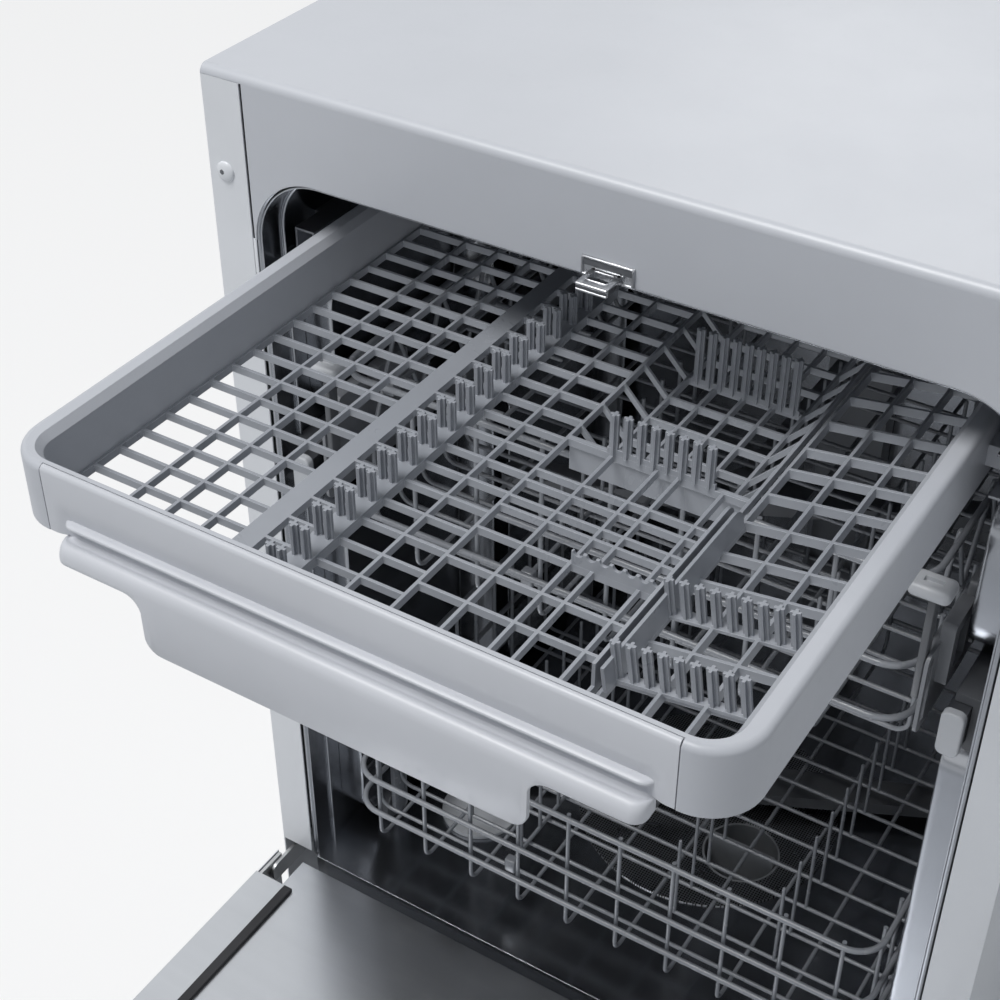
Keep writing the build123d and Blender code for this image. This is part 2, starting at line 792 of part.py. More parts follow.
def tray_cover():
    """Front cover with its finger hollow, thin lip, ledge and hanging skirt."""
    face = -tray_front
    back = cover_thick - tray_front
    plate = block(-cover_half, cover_half, face, back, tray_bottom, tray_top)
    plate = fillet(plate.edges().filter_by(Axis.X).group_by(Axis.Y)[0].sort_by(Axis.Z)[-1], rim_round - 0.2)
    hollow = arch(grip_half, tray_bottom - 1, grip_top, grip_round)
    plate -= wall_y(hollow, face - 1, face + grip_depth)
    floor = face + grip_depth
    lip = fillet(rect(-lip_half, lip_half, lip_bottom, lip_top).vertices(), 1.3)
    plate += wall_y(lip, floor - lip_reach, floor)
    front = face - ledge_reach
    ledge = rect(-ledge_half, ledge_half, front, floor + 8)
    ledge = fillet(ledge.vertices().group_by(Axis.Y)[0], grip_round)
    shelf = slab(ledge, ledge_bottom, ledge_top)
    shelf = fillet(shelf.edges().group_by(Axis.Z)[-1].sort_by(Axis.Y)[:3], 2.8)
    shelf = shelf & block(-ledge_half, ledge_half, front, floor, ledge_bottom, ledge_top)
    under = rect(skirt_wall - ledge_half, ledge_half - skirt_wall, front + skirt_wall, floor + 8)
    under = fillet(under.vertices().group_by(Axis.Y)[0], grip_round - skirt_wall)
    shelf -= slab(under, ledge_bottom - 1, ledge_top - skirt_wall)
    apron = rect(-skirt_half, skirt_half, skirt_bottom, ledge_top - skirt_wall)
    apron = fillet(apron.vertices().group_by(Axis.Y)[0], 6)
    skirt = wall_y(apron, front, front + skirt_wall)
    return plate + shelf + skirt


def rib_grid(x_ribs, y_ribs, rib, z0, z1):
    """Lattice of ribs given by the middles of its ribs, as one flat plate with holes."""
    outer = Rectangle(x_ribs[-1] - x_ribs[0] + rib, y_ribs[-1] - y_ribs[0] + rib)
    centre = Pos((x_ribs[0] + x_ribs[-1]) / 2, (y_ribs[0] + y_ribs[-1]) / 2)
    holes = []
    for xa, xb in zip(x_ribs, x_ribs[1:]):
        for ya, yb in zip(y_ribs, y_ribs[1:]):
            hole = rect(xa + rib / 2, xb - rib / 2, ya + rib / 2, yb - rib / 2)
            holes.append(hole.wire())
    face = Face((centre * outer).wire(), holes)
    return extrude(Pos(0, 0, z0) * face, z1 - z0, dir=(0, 0, 1))


def tray_outline():
    """Plan outline of the space inside the tray's wall."""
    y0, y1 = tray_wall_y()
    inner = tray_half - tray_rim
    return fillet(rect(-inner, inner, y0, y1).vertices(), tray_inner_corner)


def tray_grid():
    """Lattice floor of the tray, open over the deep middle well and under the side insert."""
    inner = tray_half - tray_rim
    y0, y1 = tray_wall_y()
    z0 = tray_floor_top - tray_rib_height
    half_rib = tray_rib / 2
    left_x = [half_rib - inner, -172, -146, -120, -98, -86]
    left_x += [post_row_x - 6, post_row_x + 6, -22, basin_x0 - half_rib]
    rows = spaced(y0 + half_rib, y1 - half_rib, 21)
    left = rib_grid(left_x, rows, tray_rib, z0, tray_floor_top)
    front_x = [basin_x0 - half_rib, 38, 67, 81, 109, basin_x1 + half_rib]
    front_y = [y0 + half_rib, -209, -182, -152, -128, -118, -101, -89, basin_y0 - half_rib]
    front = rib_grid(front_x, front_y, tray_rib, z0, tray_floor_top)
    strip = block(-98, -86, y0, y1, z0, tray_floor_top)
    edge = block(basin_x1, basin_x1 + tray_rib, y0, y1, z0, tray_floor_top)
    inside = slab(tray_outline(), z0, tray_floor_top)
    left = (left + strip) & inside
    front = (front - left) & inside
    edge = (edge - front) & inside
    return left.solids() + front.solids() + edge.solids()


def tray_well():
    """Deep middle part of the tray floor: a low lattice hung on sloping ribs."""
    _, y1 = tray_wall_y()
    rise = tray_floor_top - basin_floor
    thick = tray_rib_height
    low = basin_floor - thick
    lip = tray_floor_top - thick
    half_rib = tray_rib / 2
    floor_x = [basin_x0 + rise, *spaced(basin_x0 + rise + 20, basin_x1 - rise - 20, 20), basin_x1 - rise]
    floor_y = spaced(basin_y0 + 14, y1 - tray_rib, 28)
    well = rib_grid(floor_x, floor_y, tray_rib, low, basin_floor)
    for x in (floor_x[0], floor_x[-1]):
        well += block(x - half_rib, x + half_rib, basin_y0 + tray_rib, floor_y[0], low, basin_floor)
    inner_x = basin_x0 + rise - half_rib
    slope = Polygon(
        (basin_x0, tray_floor_top), (inner_x, basin_floor), (inner_x, low), (basin_x0, lip), align=None,
    )
    middle = (basin_x0 + basin_x1) / 2
    solids = [well]
    for y in floor_y:
        bar = wall_y(slope, y - half_rib, y + half_rib)
        solids += [bar, mirror(bar, about=Plane.YZ.offset(middle))]
    end = rect(basin_x0, basin_x1, low, tray_floor_top)
    solids.append(wall_y(end, basin_y0, basin_y0 + tray_rib))
    return solids


def comb(x0, x1, y, z0, z1, pitch, wall):
    """Upright plate with half-round notches along its top edge."""
    plate = rect(x0, x1, z0, z1)
    for x in spaced(x0 + pitch / 2, x1 - pitch / 2, pitch):
        plate -= Pos(x, z1) * Circle(pitch * 0.36)
    return wall_y(plate, y - wall / 2, y + wall / 2)


def fence(x, z0, z1):
    """Low upright plate along the tray beside the side insert, rounded at its rear end."""
    plate = rect(-229, -75, z0, z1)
    plate = fillet(plate.vertices().sort_by(Axis.X)[-2:].sort_by(Axis.Y)[-1], 9)
    return bar_x(plate, x, x + tray_rib)


def tray_combs():
    """Toothed rib and tall post rows that stand on the lattice and in the well."""
    solids = [comb(basin_x0 + 60, basin_x1, -152, tray_floor_top, tray_floor_top + 9, 8.1, tray_rib)]
    rows_of_posts = (
        (basin_y0 - 1, tray_floor_top, front_posts_drop, basin_x0 + 30),
        (well_posts_y, basin_floor, well_posts_drop, basin_x0 + 26),
    )
    for y, low, drop, x0 in rows_of_posts:
        places = spaced(x0, basin_x1 - 24, post_pitch)
        posts = Sketch() + [cross_post(x, y, post_size, post_wall) for x in places]
        rows = slab(posts, low, tray_top - drop)
        rail = block(x0 - 4, basin_x1 - 20, y - 1, y + 1, low, low + 4)
        solids.append(rows + rail)
    solids.append(fence(basin_x1, tray_floor_top, tray_floor_top + 15))
    return solids


def left_post_row():
    """Long double row of posts that keeps handles apart in the left of the tray."""
    y0, y1 = tray_wall_y()
    strip = block(post_row_x - 7, post_row_x + 7, y0 + 4, y1 - 4, tray_floor_top, tray_floor_top + 2)
    places = spaced(y0 + 18, y1 - 18, post_row_pitch)
    posts = Sketch() + [
        cross_post(post_row_x + side, y, post_size, post_wall) for y in places for side in (-3.6, 3.6)
    ]
    return strip + slab(posts, tray_floor_top, tray_floor_top + post_height)


def side_insert():
    """Right-hand floor section with two rows of nine posts, drawn flat and then tilted up."""
    y0, y1 = tray_wall_y()
    x1 = tray_half - tray_rim - 4.0
    low = tray_floor_top - insert_rib_height
    x_ribs = [insert_x0 + 1, 157.8, 182.8, x1 - 1]
    y_ribs = [y0 + 3, -216, -185, -156, -128, -101, -70, -40, -12, 12, 44, 76, 108, 140, y1 - 3]
    floor = rib_grid(x_ribs, y_ribs, tray_rib, low, tray_floor_top)
    for y in (-216, -160):
        floor += block(insert_x0, x1, y - 3, y + 3, tray_floor_top - 2, tray_floor_top)
        places = spaced(insert_x0 + 3.5, x1 - 4.4, post_pitch)
        posts = Sketch() + [cross_post(x, y, post_size, post_wall) for x in places]
        floor += slab(posts, tray_floor_top - 1, tray_floor_top + post_height)
    floor += fence(insert_x0 + 1.6, tray_floor_top - 1, tray_floor_top + 14)
    outline = rect(insert_x0, x1, y0 + 2, y1 - 2)
    outline = fillet(outline.vertices().group_by(Axis.X)[-1], tray_inner_corner)
    floor = floor & slab(outline, low, tray_floor_top + post_height + 1)
    for y in (y0 - 1.6, y1 - 3.0):
        floor += rod_y(insert_pin_x, y, y + 4.6, insert_pin_z, insert_pin_radius)
    axis = Axis((insert_pin_x, 0, insert_pin_z), (0, 1, 0))
    return floor.rotate(axis, -insert_slope)


# Baskets


def across_places():
    """Places along Y of the floor's cross wires."""
    return spaced(basket_front + basket_corner + 8, basket_back - basket_corner - 8, wire_pitch)


def ring_of_wire(half, y0, y1, z, radius, corner):
    """Closed frame of wire lying flat: four straight runs and four quarter turns."""
    solids = []
    solids += both(rod_y(half, y0 + corner, y1 - corner, z, radius))
    for y in (y0, y1):
        solids.append(rod_x(corner - half, half - corner, y, z, radius))
    for y, turn in ((y0 + corner, -90), (y1 - corner, 0)):
        bend = Pos(half - corner, y, z) * Rot(0, 0, turn) * Torus(corner, radius, major_angle=90, align=None)
        solids += both(bend)
    return solids


def basket_wires(half, bottom, rim, x_wires, z_rings, side_top):
    """Basket of straight wires: rings, a crossed floor and upright wires inside the rings."""
    y0, y1 = basket_front, basket_back
    solids = []
    for z in z_rings:
        solids += ring_of_wire(half, y0, y1, z, frame_wire, basket_corner)
    stand = half - frame_wire - thin_wire
    front = y0 + frame_wire + thin_wire
    rear = y1 - frame_wire - thin_wire
    top = rim + frame_wire / 2
    for y in across_places():
        solids.append(rod_x(thin_wire - stand, stand - thin_wire, y, bottom, thin_wire))
        solids += both(rod_z(stand, y, bottom - thin_wire, side_top + frame_wire / 2, thin_wire))
    for x in x_wires:
        low = bottom - 2 * thin_wire
        solids.append(rod_y(x, front + thin_wire, rear - thin_wire, low, thin_wire))
        for y in (front, rear):
            solids.append(rod_z(x, y, low - thin_wire, top, thin_wire))
    return solids


def zigzag(x, z0, z1, step):
    """Slanting wires on both sides of a basket, up and down between two rings."""
    solids = []
    places = spaced(basket_front + basket_corner + 10, basket_back - basket_corner - 10, step)
    side = thin_wire * 1.3
    for i, (ya, yb) in enumerate(zip(places, places[1:])):
        low, high = (z0, z1) if i % 2 == 0 else (z1, z0)
        start = Vector(x, ya + side, low)
        end = Vector(x, yb - side, high)
        wire = Cylinder(thin_wire, (end - start).length)
        centre = (start + end) * 0.5
        solids += both(Plane(origin=centre, z_dir=end - start) * wire)
    return solids


def fixed_tines(x, bottom, height):
    """Fixed row of tines that stand on the floor's cross wires."""
    solids = []
    for y in across_places()[1:-1]:
        solids.append(rod_z(x, y, bottom + thin_wire, bottom + height, tine_wire))
    return solids


def upper_basket():
    """Upper basket with three rings, slanting wires under its rim and two fixed tine rows."""
    x_wires = spaced(60 - upper_half, upper_half - 60, 56)
    rings = (upper_bottom + low_ring_rise, upper_middle, upper_rim)
    solids = basket_wires(upper_half, upper_bottom, upper_rim, x_wires, rings, upper_middle)
    stand = upper_half - frame_wire - thin_wire
    solids += zigzag(stand, upper_middle + frame_wire, upper_rim, wire_pitch)
    for x in upper_fixed_tines:
        solids += fixed_tines(x, upper_bottom, upper_tine_height)
    solids += tine_clips(upper_tines_x, upper_bottom)
    for y in shelf_clips_y:
        axle = shelf_x - stand
        clip = block(thin_wire - stand, axle + 3, y - 5, y + 5, shelf_hinge_z - 6, shelf_hinge_z + 6)
        solids.append(clip - rod_y(axle, y - 6, y + 6, shelf_hinge_z, 0.9 + pin_clearance))
    return solids


def lower_basket():
    """Lower basket with three rings, three fixed tine rows and its wheel arms."""
    x_wires = spaced(24 - lower_half, lower_half - 24, 46)
    rings = (lower_bottom + lower_ring_rise, lower_middle, lower_rim)
    solids = basket_wires(lower_half, lower_bottom, lower_rim, x_wires, rings, lower_rim)
    for x in lower_fixed_tines:
        solids += fixed_tines(x, lower_bottom, lower_tine_height)
    return solids + wheel_brackets() + tine_clips(lower_tines_x, lower_bottom)


def tine_row(x, y0, y1, z, height, pitch):
    """Folding row of tines on one axle along Y."""
    solids = [rod_y(x, y0, y1, z, thin_wire)]
    for y in spaced(y0 + 18, y1 - 18, pitch):
        solids.append(rod_z(x, y, z + thin_wire, z + height, tine_wire))
    return solids


tine_gap = 0.3
lower_tines_x = -91.0
upper_tines_x = -78.0
lower_fixed_tines = (-150.0, 46.0, 135.0)
upper_fixed_tines = (26.0, 130.0)
lower_tine_height = 86.0
upper_tine_height = 58.0


def tine_axle(bottom):
    """Height of a tine axle just above the basket's floor wires."""
    return bottom + 2 * thin_wire + tine_gap + tine_wire


def tines(x, bottom, height):
    """Row of tines that folds down on its axle."""
    first, last = clip_places()
    return tine_row(x, first - 3, last + 3, tine_axle(bottom), height, wire_pitch)


def clip_places():
    """Places along Y of the two clips of a folding tine row."""
    places = across_places()
    return places[0], places[-1]


def tine_clips(x, bottom):
    """Clips round the first and last cross wire that carry the folding row's axle."""
    z = tine_axle(bottom)
    solids = []
    for y in clip_places():
        clip = block(x - 5, x + 5, y - 4, y + 4, bottom - thin_wire - 1.5, z + 5)
        clip -= rod_x(x - 6, x + 6, y, bottom, thin_wire)
        clip -= rod_y(x, y - 5, y + 5, z, thin_wire + pin_clearance)
        solids.append(clip)
    return solids


shelf_drop = 36.0
shelf_hinge_z = upper_rim - shelf_drop
shelf_depth = 88.0
shelf_x = 8.6
shelf_clips_y = (basket_front + 48.0, basket_back - 56.0)


def cup_shelf():
    """Folding cup shelf on the left of the upper basket: an axle with cross bars."""
    x = shelf_x - (upper_half - frame_wire - thin_wire)
    first, last = shelf_clips_y
    solids = [rod_y(x, first + 5.3, last - 5.3, shelf_hinge_z, thin_wire)]
    solids.append(rod_y(x + shelf_depth, first + 8, last - 8, shelf_hinge_z, thin_wire))
    for y in spaced(first + 12, last - 12, 42):
        solids.append(rod_x(x + thin_wire, x + shelf_depth - thin_wire, y, shelf_hinge_z, thin_wire))
    for y in (first + 3, last - 9):
        solids.append(rod_y(x, y, y + 6, shelf_hinge_z, 0.9))
    return solids


# Upper basket carriage

carriage_rail_gap = 17.0
carriage_x0 = upper_rail_x0 - carriage_rail_gap
carriage_sheet = 2.5
upper_wheel_axle = 3.0
upper_wheels_y = (basket_back - 174.0, basket_back - 34.0)
catch_places = ((26.0, 62.0), (72.0, 111.0))
catch_x1 = carriage_x0 + 10.0
catch_height = 49.0
catch_z0 = upper_rail_z1 + 1.0
catch_z1 = catch_z0 + catch_height
lever_front = -1.0
lever_back = 24.0
lever_width = 25.0
lever_x0 = upper_half - 9.0
lever_x1 = lever_x0 + lever_width
lever_thick = 6.6
lever_border = 6.0
lever_sunk = 2.0
lift_travel = 45.0
pawl_y = 14.0
pawl_half = 3.0
pawl_drop = 60.0
pawl_z = upper_rim - pawl_drop
carriage_top = pawl_z + 12.0


def upper_wheel_size():
    """Height and radius of the upper wheels in their channels."""
    z = (upper_rail_z0 + upper_rail_z1) / 2
    return z, (upper_rail_z1 - upper_rail_z0) / 2 - rail_sheet - running_gap


def upper_wheels(y):
    """Pair of wheels that run in the sliding channels."""
    z, radius = upper_wheel_size()
    outer = upper_rail_x1 - rail_sheet - 1
    return both(wheel_x(upper_rail_x0 + 1.5, outer, y, z, radius, upper_wheel_axle))


def upper_carriage():
    """Side plates that carry the wheels and the height catches of the upper basket."""
    z, _ = upper_wheel_size()
    plate = fillet(rect(basket_front - 8, basket_back - 14, z - 13, carriage_top).vertices(), 6)
    plate -= fillet(rect(130, basket_back - 74, z + 20, carriage_top - 10).vertices(), 4)
    side = bar_x(plate, carriage_x0, carriage_x0 + carriage_sheet)
    side -= block(
        carriage_x0 - 1, carriage_x0 + carriage_sheet + 1,
        pawl_y - pawl_half - seat_gap, pawl_y + pawl_half + seat_gap,
        pawl_z - lift_travel - seat_gap, pawl_z + 2 * pawl_half + seat_gap,
    )
    for y in upper_wheels_y:
        side += rod_x(carriage_x0 + 1, upper_rail_x1 - rail_sheet - 0.6, y, z, upper_wheel_axle)
        side += rod_x(carriage_x0 + 1, upper_rail_x0 + 1, y, z, upper_wheel_axle + 3)
    for y0, y1 in catch_places:
        catch = block(carriage_x0 + 1, catch_x1, y0, y1, catch_z0, catch_z1)
        catch = fillet(catch.edges().filter_by(Axis.X), 4)
        inner = carriage_x0 + carriage_sheet
        catch -= block(inner, catch_x1 + 1, y0 + 9, y1 - 9, catch_z0 + 9, catch_z1 - 9)
        side += catch
    return both(side)


def height_levers():
    """Grey release plates on the upper rim, each with a tongue that slides on the carriage."""
    z0 = upper_rim + frame_wire
    plate = block(lever_x0, lever_x1, lever_front, lever_back, upper_rim - 1, z0 + lever_thick)
    plate = fillet(plate.edges().filter_by(Axis.Z), 5)
    plate = fillet(plate.edges().group_by(Axis.Z)[-1], 1.2)
    recess = z0 + lever_thick - lever_sunk
    plate -= block(
        lever_x0 + lever_border, lever_x1 - lever_border,
        lever_front + lever_border - 1, lever_back - lever_border + 1, recess, recess + lever_thick,
    )
    tongue = block(
        upper_half + frame_wire, carriage_x0 - running_gap,
        lever_front + 7, lever_back - 2, catch_z0, upper_rim,
    )
    nib = block(
        carriage_x0 - 1, carriage_x0 + carriage_sheet,
        pawl_y - pawl_half, pawl_y + pawl_half, pawl_z, pawl_z + 2 * pawl_half,
    )
    lever = plate + tongue + nib
    for wire in ring_of_wire(upper_half, basket_front, basket_back, upper_rim, frame_wire, basket_corner):
        lever -= wire
    return both(lever)


def middle_feed():
    """Feed pipe under the upper basket, from its rear dock to the middle spray arm."""
    top = upper_bottom - 3 * thin_wire
    pipe = block(-11, 11, arm_centre_y, basket_back + 1, middle_arm_z + arm_thick + 2, top)
    hub = rod_z(0, arm_centre_y, middle_arm_z + arm_thick + seat_gap, top, 15)
    spindle = rod_z(0, arm_centre_y, middle_arm_z - 3, top, 5)
    return pipe + hub + spindle


# Lower basket wheels

wheel_radius = 15.0
wheel_width = 11.0
lower_wheels_y = (basket_front + 64.0, basket_back - 64.0)
lower_axle = 3.5
wheel_arm = 2.5


def lower_wheel_z():
    """Axle height of the wheels that run on the tub floor and the open door."""
    return tub_floor + wheel_radius + seat_gap


def lower_wheels(y):
    """Pair of lower basket wheels."""
    x0 = lower_half + wheel_arm + 0.6
    return both(wheel_x(x0, x0 + wheel_width, y, lower_wheel_z(), wheel_radius, lower_axle))


def wheel_brackets():
    """Plastic arms on the lower basket's sides that carry the wheel axles."""
    z = lower_wheel_z()
    top = lower_bottom + lower_ring_rise - frame_wire - 0.1
    solids = []
    for y in lower_wheels_y:
        arm = block(lower_half - frame_wire, lower_half + wheel_arm, y - 9, y + 9, z - 8, top)
        arm = fillet(arm.edges().filter_by(Axis.X), 4)
        arm += rod_x(lower_half + 1, lower_half + wheel_arm + wheel_width + 0.6, y, z, lower_axle)
        solids += both(arm)
    return solids


# Door, drawn upright and then laid open

latch_half = 26.0
latch_depth = 40.0
window_half = 20.0
window_height = 20.4
window_z0 = opening_top - 0.1
window_z1 = window_z0 + window_height
latch_z0 = window_z0 - 11.6
latch_z1 = window_z1 + 4.0
dispenser_x0 = -104.0
dispenser_x1 = 66.0
dispenser_z0 = 420.0
dispenser_z1 = 546.0
dispenser_depth = 30.0
rinse_x = 32.0
rinse_radius = 15.0
rinse_bore = 11.0


def door_inner_panel():
    """Stainless inner pan of the door, folded forward at its edges."""
    half = pan_half
    face = -door_inner_face
    sheet = door_skin
    low = door_bottom + 2
    high = door_top - 4
    rear = face - pan_depth
    shell = block(-half, half, rear, face, low, high)
    shell -= block(sheet - half, half - sheet, rear - 1, face - sheet, low + sheet, high - sheet)
    for solid in both(block(flange_inner, half_width, rear - 1, face + 1, low - 1, hinge_z + 22)):
        shell -= solid
    shell -= block(-window_half, window_half, face - sheet - 1, face + 1, window_z0, window_z1)
    x0, x1 = dispenser_x0 + 6, dispenser_x1 - 6
    return shell - block(x0, x1, face - sheet - 1, face + 1, dispenser_z0 + 6, dispenser_z1 - 6)


def door_outer_panel():
    """Painted outer panel, folded back at its sides."""
    half = half_width - door_gap
    sheet = door_skin
    back = -door_inner_face - 3
    low = door_bottom
    high = door_split
    panel = block(-half, half, -door_front, sheet - door_front, low, high)
    for solid in both(block(half - sheet, half, -door_front, back, low, high)):
        panel += solid
    return panel + block(-flange_inner + 6, flange_inner - 6, -door_front, -24, low, low + sheet)


pocket_half = 130.0
pocket_height = 38.0
pocket_z0 = door_split + 8.0
pocket_z1 = pocket_z0 + pocket_height
pocket_depth = 30.0
button_radius = 9.0
button_z = door_top - 40.0
button_gap = 0.3
button_travel = 2.0
button_places = {"power_button": -230.0, "start_button": 230.0}
display_half = 62.0
display_height = 26.0
display_z0 = door_top - 52.0
display_z1 = display_z0 + display_height


def control_panel():
    """Moulded control panel across the top of the door, with a pull pocket."""
    half = half_width - door_gap
    wall = fascia_wall
    back = -door_inner_face - 3
    low = door_split + 2
    shell = block(-half, half, -fascia_front, back, low, door_top)
    shell = fillet(shell.edges().filter_by(Axis.X).group_by(Axis.Y)[0], 4)
    hollow = block(wall - half, half - wall, wall - fascia_front, back + 1, low + wall, door_top - wall)
    shell -= hollow
    rear = -door_inner_face - pan_depth
    shell -= block(-pan_half, pan_half, rear, back + 1, low - 1, door_top - wall)
    outer = pocket_half + wall
    floor = pocket_depth - fascia_front
    shell += block(-outer, outer, wall / 2 - fascia_front, wall + floor, pocket_z0 - wall, pocket_z1 + wall)
    shell -= block(-pocket_half, pocket_half, -fascia_front - 1, floor, pocket_z0, pocket_z1)
    for x in button_places.values():
        shell -= rod_y(x, -fascia_front - 1, wall + 1 - fascia_front, button_z, button_radius + button_gap)
    return shell - block(
        -display_half, display_half, -fascia_front - 1, wall + 1 - fascia_front, display_z0, display_z1
    )


def push_button(x):
    """Round button with the collar that keeps it in the panel."""
    proud = button_travel + 0.6
    cap = rod_y(x, -fascia_front - proud, fascia_wall + 3 - fascia_front, button_z, button_radius)
    back = fascia_wall + button_gap - fascia_front
    collar = rod_y(x, back, back + 2.7, button_z, button_radius + 2)
    return cap + collar


def display_window():
    """Clear window let into the control panel."""
    gap = 0.15
    return block(
        gap - display_half, display_half - gap, -fascia_front, fascia_wall - fascia_front,
        display_z0 + gap, display_z1 - gap,
    )


def door_latch():
    """Latch case behind the inner panel, with a mouth for the striker."""
    face = -door_inner_face - door_skin
    case = block(-latch_half, latch_half, face - latch_depth, face, latch_z0, latch_z1)
    mouth = window_half - 2
    return case - block(-mouth, mouth, face - latch_depth + 3, face + 1, window_z0, window_z1 - 1)


claw_y = -38.0
claw_z = tongue_top + 7.0
claw_reach = 29.0


def latch_claw():
    """Hook that swings down into the striker's hole, drawn lifted clear."""
    x0 = striker_x - 3.5
    x1 = striker_x + 3.5
    tip = claw_y + claw_reach
    bar = block(x0, x1, claw_y, tip, claw_z - 2, claw_z + 2)
    eye = rod_x(x0, x1, claw_y, claw_z, 4)
    nose = block(x0, x1, tip - 3.6, tip, claw_z - 6, claw_z)
    return bar + eye + nose - rod_x(x0 - 1, x1 + 1, claw_y, claw_z, 2 + pin_clearance)


def latch_pin():
    """Pin across the latch case that the hook turns on."""
    return rod_x(2 - window_half, window_half - 2, claw_y, claw_z, 2)


def detergent_dispenser():
    """Dispenser let into the inner panel: a flange, a cup and the rinse-aid tank."""
    face = -door_inner_face
    flange = block(dispenser_x0, dispenser_x1, face, face + 1.6, dispenser_z0, dispenser_z1)
    body = block(
        dispenser_x0 + 6.5, dispenser_x1 - 6.5, face - dispenser_depth, face,
        dispenser_z0 + 6.5, dispenser_z1 - 6.5,
    )
    cup = block(-90, -20, face - dispenser_depth + 3, face + 2, dispenser_z0 + 24, dispenser_z0 + 84)
    filler = rod_y(rinse_x, face - dispenser_depth + 6, face + 2, dispenser_z0 + 54, rinse_bore)
    return flange + body - cup - filler


lid_travel = 30.0


def dispenser_lid():
    """Sliding lid over the detergent cup."""
    y0 = -door_inner_face + 1.6 + running_gap
    return block(-94, -16, y0, y0 + 2.4, dispenser_z0 + 20, dispenser_z0 + 88)


def lid_guides():
    """Two lipped guides that hold the sliding lid."""
    y0 = -door_inner_face + 1.6
    solids = []
    for x0, x1, lip0, lip1 in ((-98, -94.4, -98, -91), (-15.6, -12, -19, -12)):
        web = block(x0, x1, y0, y0 + 3.4, dispenser_z0 + 20, dispenser_z0 + 88 + lid_travel)
        lip = block(lip0, lip1, y0 + 3.4, y0 + 4.6, dispenser_z0 + 20, dispenser_z0 + 88 + lid_travel)
        solids.append(web + lip)
    return solids


def rinse_aid_cap():
    """Hinged cap over the rinse-aid filler."""
    y0 = -door_inner_face + 1.6 + running_gap
    z = dispenser_z0 + 54
    disc = rod_y(rinse_x, y0, y0 + 3, z, rinse_radius)
    knuckle = rod_x(rinse_x - 8, rinse_x + 8, y0 + 2.2, z + rinse_radius + 2, 2.2)
    tail = block(rinse_x - 8, rinse_x + 8, y0, y0 + 3, z + rinse_radius - 3, z + rinse_radius + 2)
    return disc + tail + knuckle


gasket_wide = 8.0
gasket_thick = 3.4


def door_seal():
    """Rubber seal on the inner panel that meets the tub's bead, open at the bottom for the rack."""
    face = -door_inner_face
    low = hinge_z + 24
    edge = 0.4
    outer = arch(opening_half - edge, low, opening_top - edge, opening_radius - edge)
    inset = edge + gasket_wide
    inner = arch(opening_half - inset, low - 1, opening_top - inset, opening_radius - inset)
    return wall_y(outer - inner, face, face + gasket_thick)


def hinge_arms():
    """Steel arms inside the door, bored for the hinge pins."""
    half = arm_outer
    arm = block(half - 3, half, hinge_y - 14, -door_inner_face - 4, hinge_z - 8, hinge_z + 130)
    arm = arm - rod_x(half - 4, half + 1, hinge_y, hinge_z, hinge_pin_radius + pin_clearance)
    return both(arm)


def hinge_brackets():
    """Steel brackets on the cabinet that carry the hinge pins."""
    x1 = arm_outer - 3 - running_gap
    bracket = rect(hinge_y - 9, base_setback + 60, hinge_z - 9, hinge_z + 9)
    bracket = fillet(bracket.vertices().group_by(Axis.X)[0], 8)
    plate = bar_x(bracket, x1 - 3, x1)
    floor = base_bottom + base_wall
    foot_plate = block(x1 - 3, x1, base_setback + base_wall + 2, base_setback + 60, floor, hinge_z)
    pin = rod_x(x1 - 2, arm_outer - 0.4, hinge_y, hinge_z, hinge_pin_radius)
    return both(plate + foot_plate + pin)


spring_radius = 7.0
spring_wire = 1.8
spring_turns = 14
spring_length = 150.0


def door_springs():
    """Coil springs in the base that balance the door, hooked to the hinge brackets."""
    x = half_width - 21
    start = base_setback + 64
    end = start + spring_length
    z = hinge_z - 50
    pitch = spring_length / spring_turns
    helix = Helix(pitch, spring_length, spring_radius, center=(x, start, z), direction=(0, 1, 0))
    profile = Plane(origin=helix @ 0, z_dir=helix % 0) * Circle(spring_wire)
    coil = sweep(profile, helix)
    seat = spring_wire + 0.1
    plug = spring_radius + spring_wire
    bracket_x = arm_outer - 3 - running_gap - 3
    hook = rod_y(x, start - 12, start - seat, z, 2.2) + rod_x(x, bracket_x, start - 10, z, 2.2)
    hook += rod_y(x, start - seat - 3, start - seat, z, plug)
    anchor = rod_y(x, end + seat, end + seat + 3, z, plug)
    anchor += rod_z(x, end + seat + 1.5, base_bottom + base_wall, z, 1.4)
    return both(coil) + both(hook) + both(anchor)


# Place every piece in the part's own frame

door_reach = door_top - hinge_z - hinge_y
rear_reach = cabinet_depth + fitting_reach
front_y = (door_reach - rear_reach) / 2


